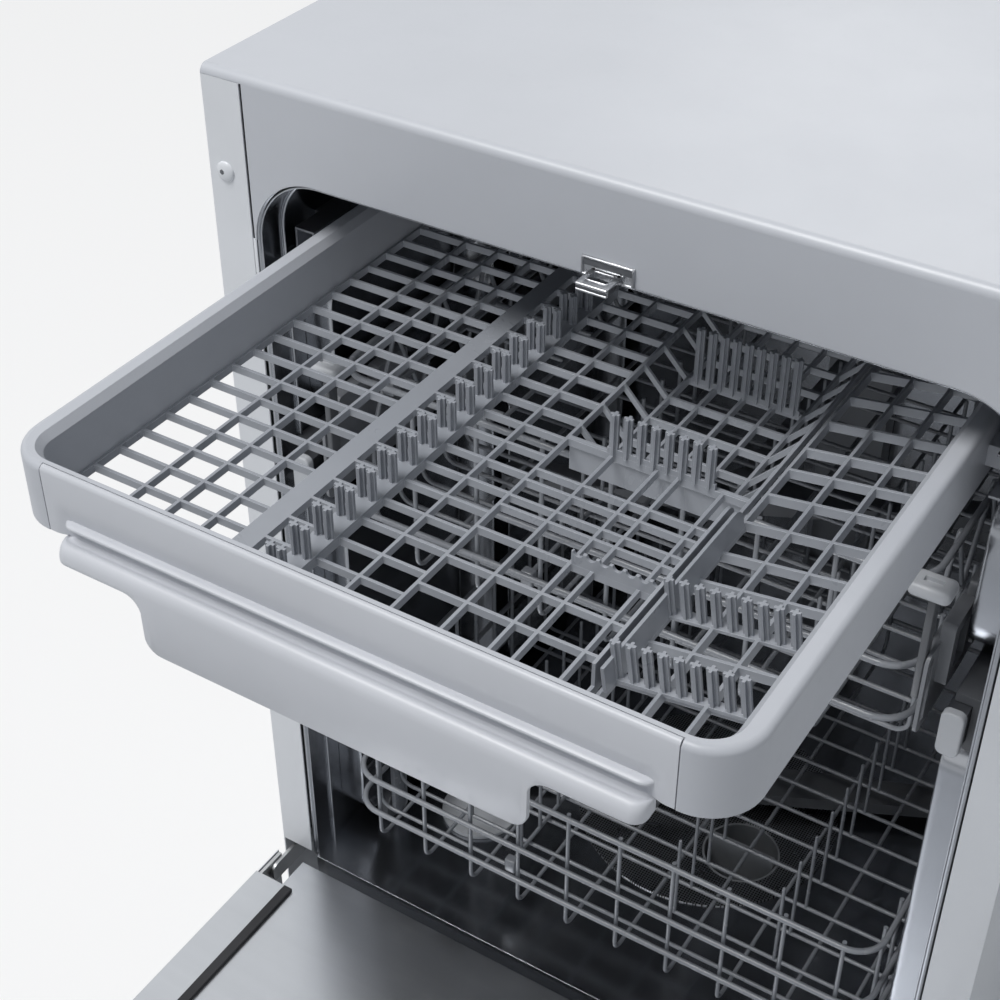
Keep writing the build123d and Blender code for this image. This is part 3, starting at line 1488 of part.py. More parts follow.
def all_pieces():
    """Every node's solids, in the machine's frame."""
    pieces = {
        "base_tray": [base_tray()],
        "side_panels": both(side_panel()),
        "flange_screws": flange_screws(),
        "rear_panel": [rear_panel()],
        "top_panel": [top_panel()],
        "plinth": [plinth()],
        "tub_wrapper": [tub_wrapper()],
        "tub_floor": [tub_floor_pan()],
        "tub_rear_wall": [tub_rear_wall()],
        "door_striker": [door_striker()],
        "sump": [sump()],
        "filter_plate": [filter_plate()],
        "filter_cup": [filter_cup()],
        "circulation_pump": [circulation_pump()],
        "drain_pump": [drain_pump()],
        "water_softener": [water_softener()],
        "salt_cap": [salt_cap()],
        "water_fittings": [inlet_valve(), drain_outlet()],
        "spray_duct": [spray_duct()],
        "top_spray_arm": [spray_arm(top_arm_reach, top_arm_z, 26)],
        "middle_spray_arm": [spray_arm(middle_arm_reach, middle_arm_z, 34)],
        "lower_spray_arm": [spray_arm(lower_arm_reach, lower_arm_z, 40)],
        "upper_rails": upper_rails(),
        "rail_end_caps": rail_end_caps(),
        "rail_guides": rail_guides(),
        "tray_rails": tray_rails(),
        "tray_frame": [tray_frame()],
        "tray_cover": [tray_cover()],
        "tray_grid": tray_grid() + tray_well() + [left_post_row()] + tray_combs(),
        "side_insert": [side_insert()],
        "upper_basket": upper_basket(),
        "upper_tines": tines(upper_tines_x, upper_bottom, upper_tine_height),
        "cup_shelf": cup_shelf(),
        "upper_carriage": upper_carriage(),
        "upper_wheels_front": upper_wheels(upper_wheels_y[0]),
        "upper_wheels_rear": upper_wheels(upper_wheels_y[1]),
        "height_levers": height_levers(),
        "middle_feed": [middle_feed()],
        "lower_basket": lower_basket(),
        "lower_tines": tines(lower_tines_x, lower_bottom, lower_tine_height),
        "lower_wheels_front": lower_wheels(lower_wheels_y[0]),
        "lower_wheels_rear": lower_wheels(lower_wheels_y[1]),
        "hinge_brackets": hinge_brackets(),
        "door_springs": door_springs(),
    }
    feet = foot_places()
    pieces["foot_front_left"] = [foot(*feet["foot_front_left"])]
    pieces["foot_front_right"] = [foot(*feet["foot_front_right"])]
    pieces["feet_rear"] = [foot(*feet["foot_rear_left"]), foot(*feet["foot_rear_right"])]
    door = {
        "door_outer_panel": [door_outer_panel()],
        "door_inner_panel": [door_inner_panel()],
        "control_panel": [control_panel()],
        "display_window": [display_window()],
        "door_latch": [door_latch(), latch_pin()],
        "latch_claw": [latch_claw()],
        "detergent_dispenser": [detergent_dispenser()] + lid_guides(),
        "dispenser_lid": [dispenser_lid()],
        "rinse_aid_cap": [rinse_aid_cap()],
        "door_seal": [door_seal()],
        "hinge_arms": hinge_arms(),
    }
    for name, x in button_places.items():
        door[name] = [push_button(x)]
    for name, solids in door.items():
        pieces[name] = opened(solids)
    return pieces


def solids_of(shapes):
    """All the separate solids in a list of shapes."""
    found = []
    for shape in shapes:
        found += shape.solids()
    return found


os.makedirs("parts", exist_ok=True)
for node, shapes in all_pieces().items():
    placed = [solid.moved(Pos(0, front_y, 0)) for solid in solids_of(shapes)]
    export_step(Compound(children=placed), f"parts/{node}.step")
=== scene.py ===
import math

import bpy
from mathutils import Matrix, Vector


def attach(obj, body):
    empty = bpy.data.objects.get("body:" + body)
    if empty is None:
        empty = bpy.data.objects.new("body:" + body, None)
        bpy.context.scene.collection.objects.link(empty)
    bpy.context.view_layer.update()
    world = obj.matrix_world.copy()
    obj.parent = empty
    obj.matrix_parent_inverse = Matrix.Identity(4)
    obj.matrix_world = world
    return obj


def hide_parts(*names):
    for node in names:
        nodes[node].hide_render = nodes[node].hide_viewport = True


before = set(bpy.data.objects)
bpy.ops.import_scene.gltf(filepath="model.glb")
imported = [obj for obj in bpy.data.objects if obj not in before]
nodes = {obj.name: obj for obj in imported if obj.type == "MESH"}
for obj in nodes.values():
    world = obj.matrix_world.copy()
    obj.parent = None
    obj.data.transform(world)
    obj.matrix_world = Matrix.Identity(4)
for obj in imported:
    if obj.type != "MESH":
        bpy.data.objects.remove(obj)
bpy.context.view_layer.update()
scene = bpy.context.scene
bpy.ops.object.select_all(action="DESELECT")

# Sizes are in millimetres from the middle of the cabinet's front, at the floor.
front_y = 101.6

# Opening and tub
opening_half = 264.8
opening_top = 785.7
opening_radius = 52.0
tub_half = 262.2
tub_top = 783.1
tub_radius = 49.4
tub_floor = 126.0
tub_back = 503.0
sheet = 1.0

lining_front = 2.6
bead_radius = 2.4
bead_gap = 1.0
bead_lap = 0.4
bead_drop = 0.2
mouth_segments = 14
ridge_y = 24.0
ridge_radius = 1.5
ridge_inset = 1.2
field_runs = ((40, 250), (276, 486))
field_heights = ((150, 500), (576, 694))
field_corner = 26

# Painted strips beside the tub's mouth
strip_inner = 265.2
strip_outer = 267.9
strip_bottom = 690.0
strip_top = 734.4
strip_thickness = 0.8

# Tray cover; ledge_droop and skirt_stretch are factors
cover_half = 194.6
cover_face = -274.5
cover_back = -270.5
cover_bottom = 701.8
cove_top = 730.0
cove_half = 190
cove_fade = 12
ledge_half = 183.5
ledge_bottom = 691.6
ledge_corner = 8.0
ledge_shoulder = 694.5
ledge_droop = 0.16
ledge_cut = 691.9
lip_root = -272.0
skirt_half = 122.0
skirt_bottom = 654.5
skirt_bend = 12.0
skirt_corner = 10.0
skirt_stretch = 6

# Striker
striker_x = 1.0
striker_half = 17.7
striker_top = 798.7
tongue_half = 10.5
tongue_top = 792.0
tongue_bottom = 786.5
tongue_front = -20.7
cheek_width = 3.6
eye_front = -14.4
eye_rear = -3.9
striker_rounding = 0.75

# Flange screws
screw_x = 285.8
screw_z = 778.6
screw_radius = 7.2
screw_dome = 2.6
screw_seat = 0.2
screw_rim = 0.4
socket_radius = 1.9
socket_depth = 0.7

# Baskets and their levers
basket_front = 14.0
basket_back = 474.0
frame_wire = 2.4
thin_wire = 1.8
tine_wire = 1.6
wire_pitch = 30.0
frame_bend = 24.0
wire_bend = 11.0
clip_rounding = 1.4
axle_z = 141.3
axle_radius = 3.5
lever_inner = 206.0
lever_outer = 233.0
lever_bottom = 639.0
lever_top = 648.8
catch_inner = 218.6
catch_outer = 223.4
catch_bottom = 557.2

# White added to the floor as seen, and the sky's strength as light and as seen
floor_white = 0.7
sky_light = 0.24
sky_seen = 1.0


def place(x, y, z):
    """A point of the machine in metres, in the part's frame."""
    return Vector((x, y + front_y, z)) / 1000


def beside(side, inner, outer):
    """Both edges of a piece on one side of the middle, the lower one first."""
    return sorted((side * inner, side * outer))


def spaced(first, last, pitch):
    """Evenly spaced places from first to last, as near to the pitch as fits."""
    steps = max(1, round((last - first) / pitch))
    return [first + (last - first) * i / steps for i in range(steps + 1)]


# Modelling


def pick(*pieces):
    """Select these pieces alone, the first one active."""
    bpy.ops.object.select_all(action="DESELECT")
    for piece in pieces:
        piece.select_set(True)
    bpy.context.view_layer.objects.active = pieces[0]


def named(piece, name):
    """Name a piece and put its place into its mesh."""
    pick(piece)
    bpy.ops.object.transform_apply(location=True, rotation=True, scale=True)
    piece.name = name
    piece.data.name = name
    return piece


def soften(piece, width, segments=2, angle=35):
    """Round the edges that are sharper than the angle, and smooth the rest."""
    pick(piece)
    rounding = piece.modifiers.new("rounding", "BEVEL")
    rounding.width = width / 1000
    rounding.segments = segments
    rounding.limit_method = "ANGLE"
    rounding.angle_limit = math.radians(angle)
    bpy.ops.object.modifier_apply(modifier=rounding.name)
    bpy.ops.object.shade_smooth_by_angle(angle=math.radians(angle + 10))
    return piece


def block(name, x0, x1, y0, y1, z0, z1, width=0.6, segments=2):
    """Block between two corners with softened edges."""
    low, high = place(x0, y0, z0), place(x1, y1, z1)
    bpy.ops.mesh.primitive_cube_add(size=1, location=(low + high) / 2, scale=high - low)
    return soften(named(bpy.context.object, name), width, segments)


def plate(name, x0, x1, y0, y1, z0, z1, along, corner, width):
    """Flat plate with round corners about the axis along (0 for x, 2 for z) and softened edges."""
    low, high = place(x0, y0, z0), place(x1, y1, z1)
    bpy.ops.mesh.primitive_cube_add(size=1, location=(low + high) / 2, scale=high - low)
    piece = named(bpy.context.object, name)
    bpy.ops.object.mode_set(mode="EDIT")
    bpy.ops.mesh.select_all(action="DESELECT")
    bpy.ops.object.mode_set(mode="OBJECT")
    mesh = piece.data
    for edge in mesh.edges:
        a, b = (mesh.vertices[i].co for i in edge.vertices)
        if abs((b - a).normalized()[along]) > 0.99:
            edge.select = True
    bpy.ops.object.mode_set(mode="EDIT")
    bpy.ops.mesh.bevel(offset=corner / 1000, segments=8, affect="EDGES")
    bpy.ops.object.mode_set(mode="OBJECT")
    return soften(piece, width, 3, 50)


def draw(paths, bend, segments):
    """Lines from corner to corner in one mesh, each bent round its corners."""
    bpy.ops.mesh.primitive_plane_add(size=0.001)
    piece = bpy.context.object
    bpy.ops.object.mode_set(mode="EDIT")
    bpy.ops.mesh.delete(type="VERT")
    for path in paths:
        bpy.ops.mesh.primitive_plane_add(size=0.001, location=path[0])
        bpy.ops.mesh.merge(type="CENTER")
        for start, end in zip(path, path[1:]):
            bpy.ops.mesh.extrude_region_move(TRANSFORM_OT_translate={"value": end - start})
    bpy.ops.mesh.select_all(action="SELECT")
    bpy.ops.mesh.remove_doubles(threshold=0.00001)
    if bend:
        bpy.ops.mesh.bevel(offset=bend / 1000, segments=segments, affect="VERTICES", clamp_overlap=False)
    bpy.ops.object.mode_set(mode="OBJECT")
    return piece


def wires(name, paths, radius, bend=0, segments=5):
    """Round wires of one thickness along their lines."""
    piece = draw(paths, bend, segments)
    pick(piece)
    bpy.ops.object.convert(target="CURVE")
    piece = bpy.context.object
    piece.data.bevel_depth = radius / 1000
    piece.data.bevel_resolution = 2
    piece.data.use_fill_caps = True
    bpy.ops.object.convert(target="MESH")
    piece = named(bpy.context.object, name)
    bpy.ops.object.shade_smooth_by_angle(angle=math.radians(60))
    return piece


def strip(name, profile, stations, rule):
    """Closed profile of y and z drawn out along x, each point then moved by a rule."""
    first = stations[0]
    piece = draw([[place(first, y, z) for y, z in profile + profile[:1]]], 0, 1)
    pick(piece)
    bpy.ops.object.mode_set(mode="EDIT")
    bpy.ops.mesh.select_all(action="SELECT")
    bpy.ops.mesh.edge_face_add()
    for start, end in zip(stations, stations[1:]):
        bpy.ops.mesh.extrude_region_move(TRANSFORM_OT_translate={"value": ((end - start) / 1000, 0, 0)})
    bpy.ops.object.mode_set(mode="OBJECT")
    for vertex in piece.data.vertices:
        x, y, z = vertex.co * 1000
        vertex.co = place(x, *rule(x, y - front_y, z))
    bpy.ops.object.mode_set(mode="EDIT")
    bpy.ops.mesh.select_all(action="SELECT")
    bpy.ops.mesh.normals_make_consistent(inside=False)
    bpy.ops.object.mode_set(mode="OBJECT")
    piece = named(piece, name)
    bpy.ops.object.shade_smooth_by_angle(angle=math.radians(34))
    return piece


def mirrored(places):
    """Places on the left from the middle outwards, with the same places on the right."""
    return sorted({-p for p in places} | set(places))


def joined(name, pieces):
    """Pieces of one part made into one mesh."""
    pick(*pieces)
    bpy.ops.object.join()
    return named(bpy.context.object, name)


# Finishes


def effect(name, inputs, outputs):
    """Shader node group with its sockets and its two end nodes."""
    group = bpy.data.node_groups.new(name, "ShaderNodeTree")
    for label, kind, value in inputs:
        socket = group.interface.new_socket(label, in_out="INPUT", socket_type=kind)
        socket.default_value = value
    for label, kind in outputs:
        group.interface.new_socket(label, in_out="OUTPUT", socket_type=kind)
    return group, group.nodes.new("NodeGroupInput"), group.nodes.new("NodeGroupOutput")


def add(tree, kind, values=None, **settings):
    """Shader node with its settings and the values of its sockets."""
    node = tree.nodes.new("ShaderNode" + kind)
    for key, value in settings.items():
        setattr(node, key, value)
    for key, value in (values or {}).items():
        node.inputs[key].default_value = value
    return node


def make_grain():
    """Fine moulded grain and a slow mottle of colour."""
    group, start, end = effect(
        "moulded grain", [("Cells", "NodeSocketFloat", 1500.0)],
        [("Height", "NodeSocketFloat"), ("Mottle", "NodeSocketFloat")],
    )
    coords = add(group, "TexCoord")
    fine = add(group, "TexNoise", {"Detail": 3.0, "Roughness": 0.6})
    slow = add(group, "TexNoise", {"Scale": 14.0, "Detail": 4.0, "Roughness": 0.55})
    spread = add(group, "MapRange", {"From Min": 0.35, "From Max": 0.65})
    link = group.links.new
    link(coords.outputs["Object"], fine.inputs["Vector"])
    link(start.outputs["Cells"], fine.inputs["Scale"])
    link(coords.outputs["Object"], slow.inputs["Vector"])
    link(slow.outputs["Fac"], spread.inputs["Value"])
    link(fine.outputs["Fac"], end.inputs["Height"])
    link(spread.outputs["Result"], end.inputs["Mottle"])
    return group


def make_brushing():
    """Long fine lines along one direction, as rolling or brushing leaves."""
    group, start, end = effect(
        "brushed lines", [("Stretch", "NodeSocketVector", (40.0, 40.0, 900.0))],
        [("Height", "NodeSocketFloat"), ("Streak", "NodeSocketFloat")],
    )
    coords = add(group, "TexCoord")
    scaled = add(group, "VectorMath", operation="MULTIPLY")
    fine = add(group, "TexNoise", {"Scale": 1.0, "Detail": 4.0, "Roughness": 0.7})
    broad = add(group, "TexNoise", {"Scale": 0.12, "Detail": 2.0})
    link = group.links.new
    link(coords.outputs["Object"], scaled.inputs[0])
    link(start.outputs["Stretch"], scaled.inputs[1])
    link(scaled.outputs["Vector"], fine.inputs["Vector"])
    link(scaled.outputs["Vector"], broad.inputs["Vector"])
    link(fine.outputs["Fac"], end.inputs["Height"])
    link(broad.outputs["Fac"], end.inputs["Streak"])
    return group


def make_edges():
    """Softened edge normals, and a mask of the edges, used both for wear from hands and for painted
    highlights on edges and tips.
    """
    group, start, end = effect(
        "rubbed edges", [("Radius", "NodeSocketFloat", 0.0004)],
        [("Normal", "NodeSocketVector"), ("Edge", "NodeSocketFloat")],
    )
    soft = add(group, "Bevel", samples=4)
    flat = add(group, "NewGeometry")
    same = add(group, "VectorMath", operation="DOT_PRODUCT")
    mask = add(group, "MapRange", {"From Min": 0.99, "From Max": 0.8})
    link = group.links.new
    link(start.outputs["Radius"], soft.inputs["Radius"])
    link(soft.outputs["Normal"], same.inputs[0])
    link(flat.outputs["Normal"], same.inputs[1])
    link(same.outputs["Value"], mask.inputs["Value"])
    link(soft.outputs["Normal"], end.inputs["Normal"])
    link(mask.outputs["Result"], end.inputs["Edge"])
    return group


def make_marks():
    """Soft patches of handling and dried water that change the gloss."""
    group, start, end = effect(
        "handling marks", [("Size", "NodeSocketFloat", 9.0)], [("Marks", "NodeSocketFloat")],
    )
    coords = add(group, "TexCoord")
    patches = add(group, "TexNoise", {"Detail": 5.0, "Roughness": 0.65, "Distortion": 0.6})
    drops = add(group, "TexVoronoi", {"Scale": 130.0}, feature="SMOOTH_F1")
    thin = add(group, "MapRange", {"From Min": 0.05, "From Max": 0.25, "To Min": 0.25, "To Max": 0.0})
    mix = add(group, "Math", operation="ADD")
    spread = add(group, "MapRange", {"From Min": 0.35, "From Max": 0.8})
    link = group.links.new
    link(coords.outputs["Object"], patches.inputs["Vector"])
    link(coords.outputs["Object"], drops.inputs["Vector"])
    link(start.outputs["Size"], patches.inputs["Scale"])
    link(drops.outputs["Distance"], thin.inputs["Value"])
    link(patches.outputs["Fac"], mix.inputs[0])
    link(thin.outputs["Result"], mix.inputs[1])
    link(mix.outputs["Value"], spread.inputs["Value"])
    link(spread.outputs["Result"], end.inputs["Marks"])
    return group


grain_effect = make_grain()
brush_effect = make_brushing()
edge_effect = make_edges()
marks_effect = make_marks()


def finish(name, colour, rough, metal=0.0, cells=1500.0, depth=0.01, mottle=0.04, edge=0.4,
           rub_and_sheen=1.12, swing=0.08, marks=9.0, stretch=None, coat=0.0, coat_rough=0.2, level=0.5):
    """Surface finish: its colour, gloss, grain or brushed lines, worn edges lightened also as painted
    highlights, and marks.
    """
    material = bpy.data.materials.new(name)
    material.use_nodes = True
    tree = material.node_tree
    link = tree.links.new
    shader = tree.nodes["Principled BSDF"]
    shader.inputs["Metallic"].default_value = metal
    shader.inputs["Coat Weight"].default_value = coat
    shader.inputs["Coat Roughness"].default_value = coat_rough
    shader.inputs["Specular IOR Level"].default_value = level

    grain = add(tree, "Group", node_tree=grain_effect)
    grain.inputs["Cells"].default_value = cells
    edges = add(tree, "Group", node_tree=edge_effect)
    edges.inputs["Radius"].default_value = edge / 1000
    patches = add(tree, "Group", node_tree=marks_effect)
    patches.inputs["Size"].default_value = marks

    def toned(factor):
        return (*(min(1, c * factor) for c in colour), 1)

    tone = add(tree, "Mix", data_type="RGBA")
    tone.inputs["A"].default_value = toned(1 - mottle)
    tone.inputs["B"].default_value = toned(1 + mottle)
    # Edges are lightened partly as wear and partly as a painted highlight for the sheen that edges catch.
    rubbed_and_sheen = add(tree, "Mix", data_type="RGBA")
    rubbed_and_sheen.inputs["B"].default_value = toned(rub_and_sheen)
    link(grain.outputs["Mottle"], tone.inputs["Factor"])
    link(tone.outputs["Result"], rubbed_and_sheen.inputs["A"])
    link(edges.outputs["Edge"], rubbed_and_sheen.inputs["Factor"])
    link(rubbed_and_sheen.outputs["Result"], shader.inputs["Base Color"])

    gloss = add(tree, "MapRange", {"To Min": rough - swing / 2, "To Max": rough + swing})
    link(patches.outputs["Marks"], gloss.inputs["Value"])
    link(gloss.outputs["Result"], shader.inputs["Roughness"])

    bump = add(tree, "Bump", {"Distance": depth / 1000, "Strength": 1.0})
    link(edges.outputs["Normal"], bump.inputs["Normal"])
    link(grain.outputs["Height"], bump.inputs["Height"])
    if stretch:
        lines = add(tree, "Group", node_tree=brush_effect)
        lines.inputs["Stretch"].default_value = stretch
        link(lines.outputs["Height"], bump.inputs["Height"])
        link(lines.outputs["Streak"], tone.inputs["Factor"])
    link(bump.outputs["Normal"], shader.inputs["Normal"])
    return material


enamel = finish("white enamelled steel", (0.74, 0.755, 0.78), 0.34, cells=420, depth=0.012, mottle=0.012,
                edge=0.8, coat=0.35, coat_rough=0.12)
# Darker copy of the white enamel: the top panel and its front band are painted darker as the shade that falls
# on the band.
shaded_top_enamel = finish("satin enamelled top with painted shade", (0.55, 0.565, 0.60), 0.42, cells=420, depth=0.012, mottle=0.012,
                    edge=0.8, coat=0.2, coat_rough=0.2)
panel_white = finish("white moulded panel", (0.69, 0.70, 0.725), 0.36, cells=1800, depth=0.006, mottle=0.015)
tray_grey = finish("pale grey tray plastic", (0.50, 0.515, 0.55), 0.36, cells=1300, depth=0.010, mottle=0.02,
                   edge=0.5, rub_and_sheen=1.10, level=0.45)
# Lighter copy of the tray's plastic: the cover is painted lighter to stand for the light on its face.
lit_cover_grey = finish("pale grey cover plastic with painted light", (0.575, 0.587, 0.62), 0.36, cells=1300, depth=0.010,
                    mottle=0.02, edge=0.5, rub_and_sheen=1.08, level=0.45)
# Strong edge lightening paints bright highlights on the lattice's edges and post tips.
grid_grey = finish("grey lattice plastic", (0.31, 0.325, 0.355), 0.30, cells=1300, depth=0.012, mottle=0.05,
                   edge=0.45, rub_and_sheen=1.9)
nylon_light = finish("light grey nylon", (0.50, 0.515, 0.54), 0.38, cells=1700, depth=0.010, mottle=0.03)
nylon_grey = finish("mid grey nylon", (0.20, 0.208, 0.225), 0.40, cells=1700, depth=0.010, mottle=0.04,
                    edge=0.5, rub_and_sheen=1.35)
nylon_dark = finish("dark grey nylon", (0.11, 0.115, 0.125), 0.42, cells=1700, depth=0.012, mottle=0.06)
coated_wire = finish("grey coated wire", (0.25, 0.262, 0.285), 0.26, cells=900, depth=0.02, mottle=0.06,
                     edge=0.3, coat=0.3, coat_rough=0.15)
# Darker copy of the door's stainless steel: the tub's steel is painted darker as the shade inside the
# enclosed tub.
shaded_tub_steel = finish("bright tub steel with painted shade", (0.34, 0.352, 0.375), 0.22, metal=1.0, stretch=(30, 30, 700),
                   depth=0.002, mottle=0.04, edge=0.8, rub_and_sheen=1.2, swing=0.05, marks=6)
door_steel = finish("brushed door steel", (0.50, 0.515, 0.54), 0.30, metal=1.0, stretch=(12, 900, 400),
                    depth=0.004, mottle=0.04, edge=0.8, rub_and_sheen=1.15, swing=0.05, marks=7)
chrome = finish("chromed striker", (0.50, 0.51, 0.53), 0.16, metal=1.0, cells=700, depth=0.003, mottle=0.03,
                edge=0.5, rub_and_sheen=1.5, swing=0.10, marks=60)
satin_metal = finish("satin striker metal", (0.44, 0.448, 0.465), 0.30, metal=1.0, cells=900, depth=0.004,
                     mottle=0.04, edge=0.4, rub_and_sheen=1.5, marks=40)
# Darkened steel that paints the shade on the rails inside the tub, in place of the light their fronts would
# catch.
shaded_rail_steel = finish("rolled rail steel with painted shade", (0.21, 0.218, 0.235), 0.40, metal=1.0, stretch=(500, 14, 500),
                    depth=0.006, mottle=0.06, edge=0.5, marks=20)
zinc = finish("zinc plated steel", (0.48, 0.49, 0.50), 0.42, metal=1.0, cells=260, depth=0.02, mottle=0.12,
              edge=0.5, marks=30)
spring_steel = finish("spring steel", (0.34, 0.34, 0.35), 0.36, metal=1.0, cells=900, depth=0.01, mottle=0.1)
base_black = finish("black base plastic", (0.035, 0.036, 0.04), 0.55, cells=900, depth=0.03, mottle=0.15)
rubber = finish("black door rubber", (0.03, 0.03, 0.033), 0.62, cells=700, depth=0.03, mottle=0.2, edge=0.8,
                level=0.3)
softener_white = finish("white tank plastic", (0.60, 0.61, 0.625), 0.5, cells=1200, depth=0.02, mottle=0.05)
window_dark = finish("dark window", (0.02, 0.022, 0.026), 0.10, cells=300, depth=0.001, mottle=0.2, coat=0.6,
                     coat_rough=0.05, swing=0.05)
filter_grey = finish("grey filter plastic", (0.24, 0.25, 0.265), 0.45, cells=1500, depth=0.02, mottle=0.06)


def make_filter_steel():
    """Stainless filter sheet whose fine staggered holes are painted as dark dots, the painted shade seen
    through them.
    """
    material = finish("pierced filter steel", (0.50, 0.51, 0.53), 0.30, metal=1.0, cells=900, depth=0.004,
                      mottle=0.05, marks=24)
    tree = material.node_tree
    link = tree.links.new
    shader = tree.nodes["Principled BSDF"]
    coords = add(tree, "TexCoord")
    holes = add(tree, "TexVoronoi", {"Scale": 420.0, "Randomness": 0.0}, voronoi_dimensions="2D")
    inside = add(tree, "MapRange", {"From Min": 0.30, "From Max": 0.36})
    dark = add(tree, "Mix", data_type="RGBA", blend_type="MULTIPLY")
    dark.inputs["Factor"].default_value = 1.0
    # Near-black dots where the holes are: painted shade seen through the holes.
    pierced = add(tree, "Mix", data_type="RGBA")
    pierced.inputs["A"].default_value = (0.03, 0.03, 0.03, 1)
    pierced.inputs["B"].default_value = (1, 1, 1, 1)
    before = shader.inputs["Base Color"].links[0].from_socket
    link(coords.outputs["Object"], holes.inputs["Vector"])
    link(holes.outputs["Distance"], inside.inputs["Value"])
    link(inside.outputs["Result"], pierced.inputs["Factor"])
    link(before, dark.inputs["A"])
    link(pierced.outputs["Result"], dark.inputs["B"])
    link(dark.outputs["Result"], shader.inputs["Base Color"])
    return material


filter_steel = make_filter_steel()

finishes = {
    enamel: ["side_panels", "rear_panel", "door_outer_panel", "plinth", "flange_screws"],
    shaded_top_enamel: ["top_panel"],
    panel_white: ["control_panel", "power_button", "start_button"],
    tray_grey: ["tray_frame"],
    lit_cover_grey: ["tray_cover"],
    grid_grey: ["tray_grid", "side_insert"],
    nylon_light: ["height_levers", "rail_end_caps", "dispenser_lid", "rinse_aid_cap", "salt_cap"],
    nylon_grey: ["upper_carriage", "middle_feed", "spray_duct"],
    nylon_dark: ["upper_wheels_front", "upper_wheels_rear", "lower_wheels_front", "lower_wheels_rear",
                 "rail_guides", "top_spray_arm", "middle_spray_arm", "lower_spray_arm", "door_latch"],
    coated_wire: ["upper_basket", "lower_basket", "upper_tines", "lower_tines", "cup_shelf"],
    shaded_tub_steel: ["tub_wrapper", "tub_rear_wall", "tub_floor"],
    door_steel: ["door_inner_panel"],
    chrome: ["latch_claw"],
    satin_metal: ["door_striker"],
    shaded_rail_steel: ["upper_rails", "tray_rails"],
    zinc: ["hinge_brackets", "hinge_arms"],
    spring_steel: ["door_springs"],
    base_black: ["base_tray", "foot_front_left", "foot_front_right", "feet_rear", "circulation_pump",
                 "drain_pump", "water_fittings"],
    rubber: ["door_seal"],
    softener_white: ["water_softener", "detergent_dispenser"],
    window_dark: ["display_window"],
    filter_grey: ["filter_cup", "sump"],
    filter_steel: ["filter_plate"],
}


def dress(piece, material):
    """Give a piece its one finish."""
    piece.data.materials.clear()
    piece.data.materials.append(material)


for material, names in finishes.items():
    for node_name in names:
        dress(nodes[node_name], material)


def fit(piece, body, material, *replaced):
    """Finish a new piece, let it ride on its body and stand for what it replaces."""
    dress(piece, material)
    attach(piece, body)
    if replaced:
        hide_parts(*replaced)
    return piece


# Tub


def arch(half, top, y):
    """Corners of a line that runs up one side of the tub's mouth, over it and down again."""
    low = tub_floor - sheet
    return [place(x, y, z) for x, z in ((-half, low), (-half, top), (half, top), (half, low))]


def tub_lining():
    """Steel lining: one bent sheet, its rolled front bead, a thin ridge and the pressed wall fields."""
    wall = draw([arch(tub_half, tub_top, lining_front)], tub_radius, mouth_segments)
    pick(wall)
    bpy.ops.object.mode_set(mode="EDIT")
    bpy.ops.mesh.select_all(action="SELECT")
    run = place(0, tub_back, 0) - place(0, lining_front, 0)
    bpy.ops.mesh.extrude_region_move(TRANSFORM_OT_translate={"value": run})
    bpy.ops.mesh.select_all(action="SELECT")
    bpy.ops.mesh.normals_make_consistent(inside=True)
    bpy.ops.object.mode_set(mode="OBJECT")
    thickness = wall.modifiers.new("sheet", "SOLIDIFY")
    thickness.thickness = sheet / 1000
    thickness.offset = -1
    bpy.ops.object.modifier_apply(modifier=thickness.name)
    named(wall, "tub_wall")
    bpy.ops.object.shade_smooth_by_angle(angle=math.radians(40))

    line = arch(opening_half + bead_lap, opening_top + bead_radius + bead_drop, bead_radius + bead_gap)
    bead = wires("tub_bead", [line], bead_radius, opening_radius + 2, mouth_segments)
    line = arch(tub_half - ridge_inset, tub_top - ridge_inset, ridge_y)
    ridge = wires("tub_ridge", [line], ridge_radius, tub_radius - ridge_inset, mouth_segments)
    pieces = [wall, bead, ridge]
    for z0, z1 in field_heights:
        for y0, y1 in field_runs:
            for side in (-1, 1):
                x0, x1 = beside(side, tub_half - 1, tub_half + 0.4)
                pieces.append(plate("field", x0, x1, y0, y1, z0, z1, along=0, corner=field_corner, width=0.9))
    return joined("tub_lining", pieces)


fit(tub_lining(), "cabinet", shaded_tub_steel, "tub_wrapper")


def front_strips():
    """Short painted feet of the front band, beside the tub's mouth."""
    strips = []
    for side in (-1, 1):
        x0, x1 = beside(side, strip_inner, strip_outer)
        strips.append(block("strip", x0, x1, 0, strip_thickness, strip_bottom, strip_top, 0.25))
    return joined("front_frame_strips", strips)


fit(front_strips(), "cabinet", enamel)


# Tray cover


def cover_plate():
    """Face of the cover: rounded top edge, and a shallow cove that fades out at both ends."""
    profile = [
        (cover_back, cover_bottom), (cover_back, cove_top), (-271.0, 731.0), (-271.0, 745.0), (-271.6, 745.1),
        (-272.7, 744.9), (-273.6, 744.2), (-274.25, 743.3), (cover_face, 742.1), (cover_face, 731.0),
        (cover_face, 727.0), (-274.3, 723.8), (-273.8, 720.6), (-273.1, 717.6), (-272.5, 714.9),
        (-272.2, 712.0), (-272.2, cover_bottom),
    ]

    def fade(x, y, z):
        if y < lip_root and z < cove_top:
            share = min(1, max(0, (cove_half - abs(x)) / cove_fade))
            y = cover_face + (y - cover_face) * share * share * (3 - 2 * share)
        return y, z

    stations = mirrored([cover_half, 192, 190, 188.5, 187, 185.5, 184, 182.5, 181, 179.5, 178, 90])
    return strip("cover_plate", profile, stations, fade)


def skirt_edge(x):
    """Height of the lower edge of ledge and skirt, with its two bends."""
    across = abs(x)
    if across >= skirt_half + skirt_bend:
        return ledge_bottom
    if across >= skirt_half:
        side = skirt_half + skirt_bend - across
        return ledge_bottom - skirt_bend + math.sqrt(skirt_bend ** 2 - side ** 2)
    side = max(0, across - skirt_half + skirt_corner)
    return skirt_bottom + skirt_corner - math.sqrt(skirt_corner ** 2 - side ** 2)


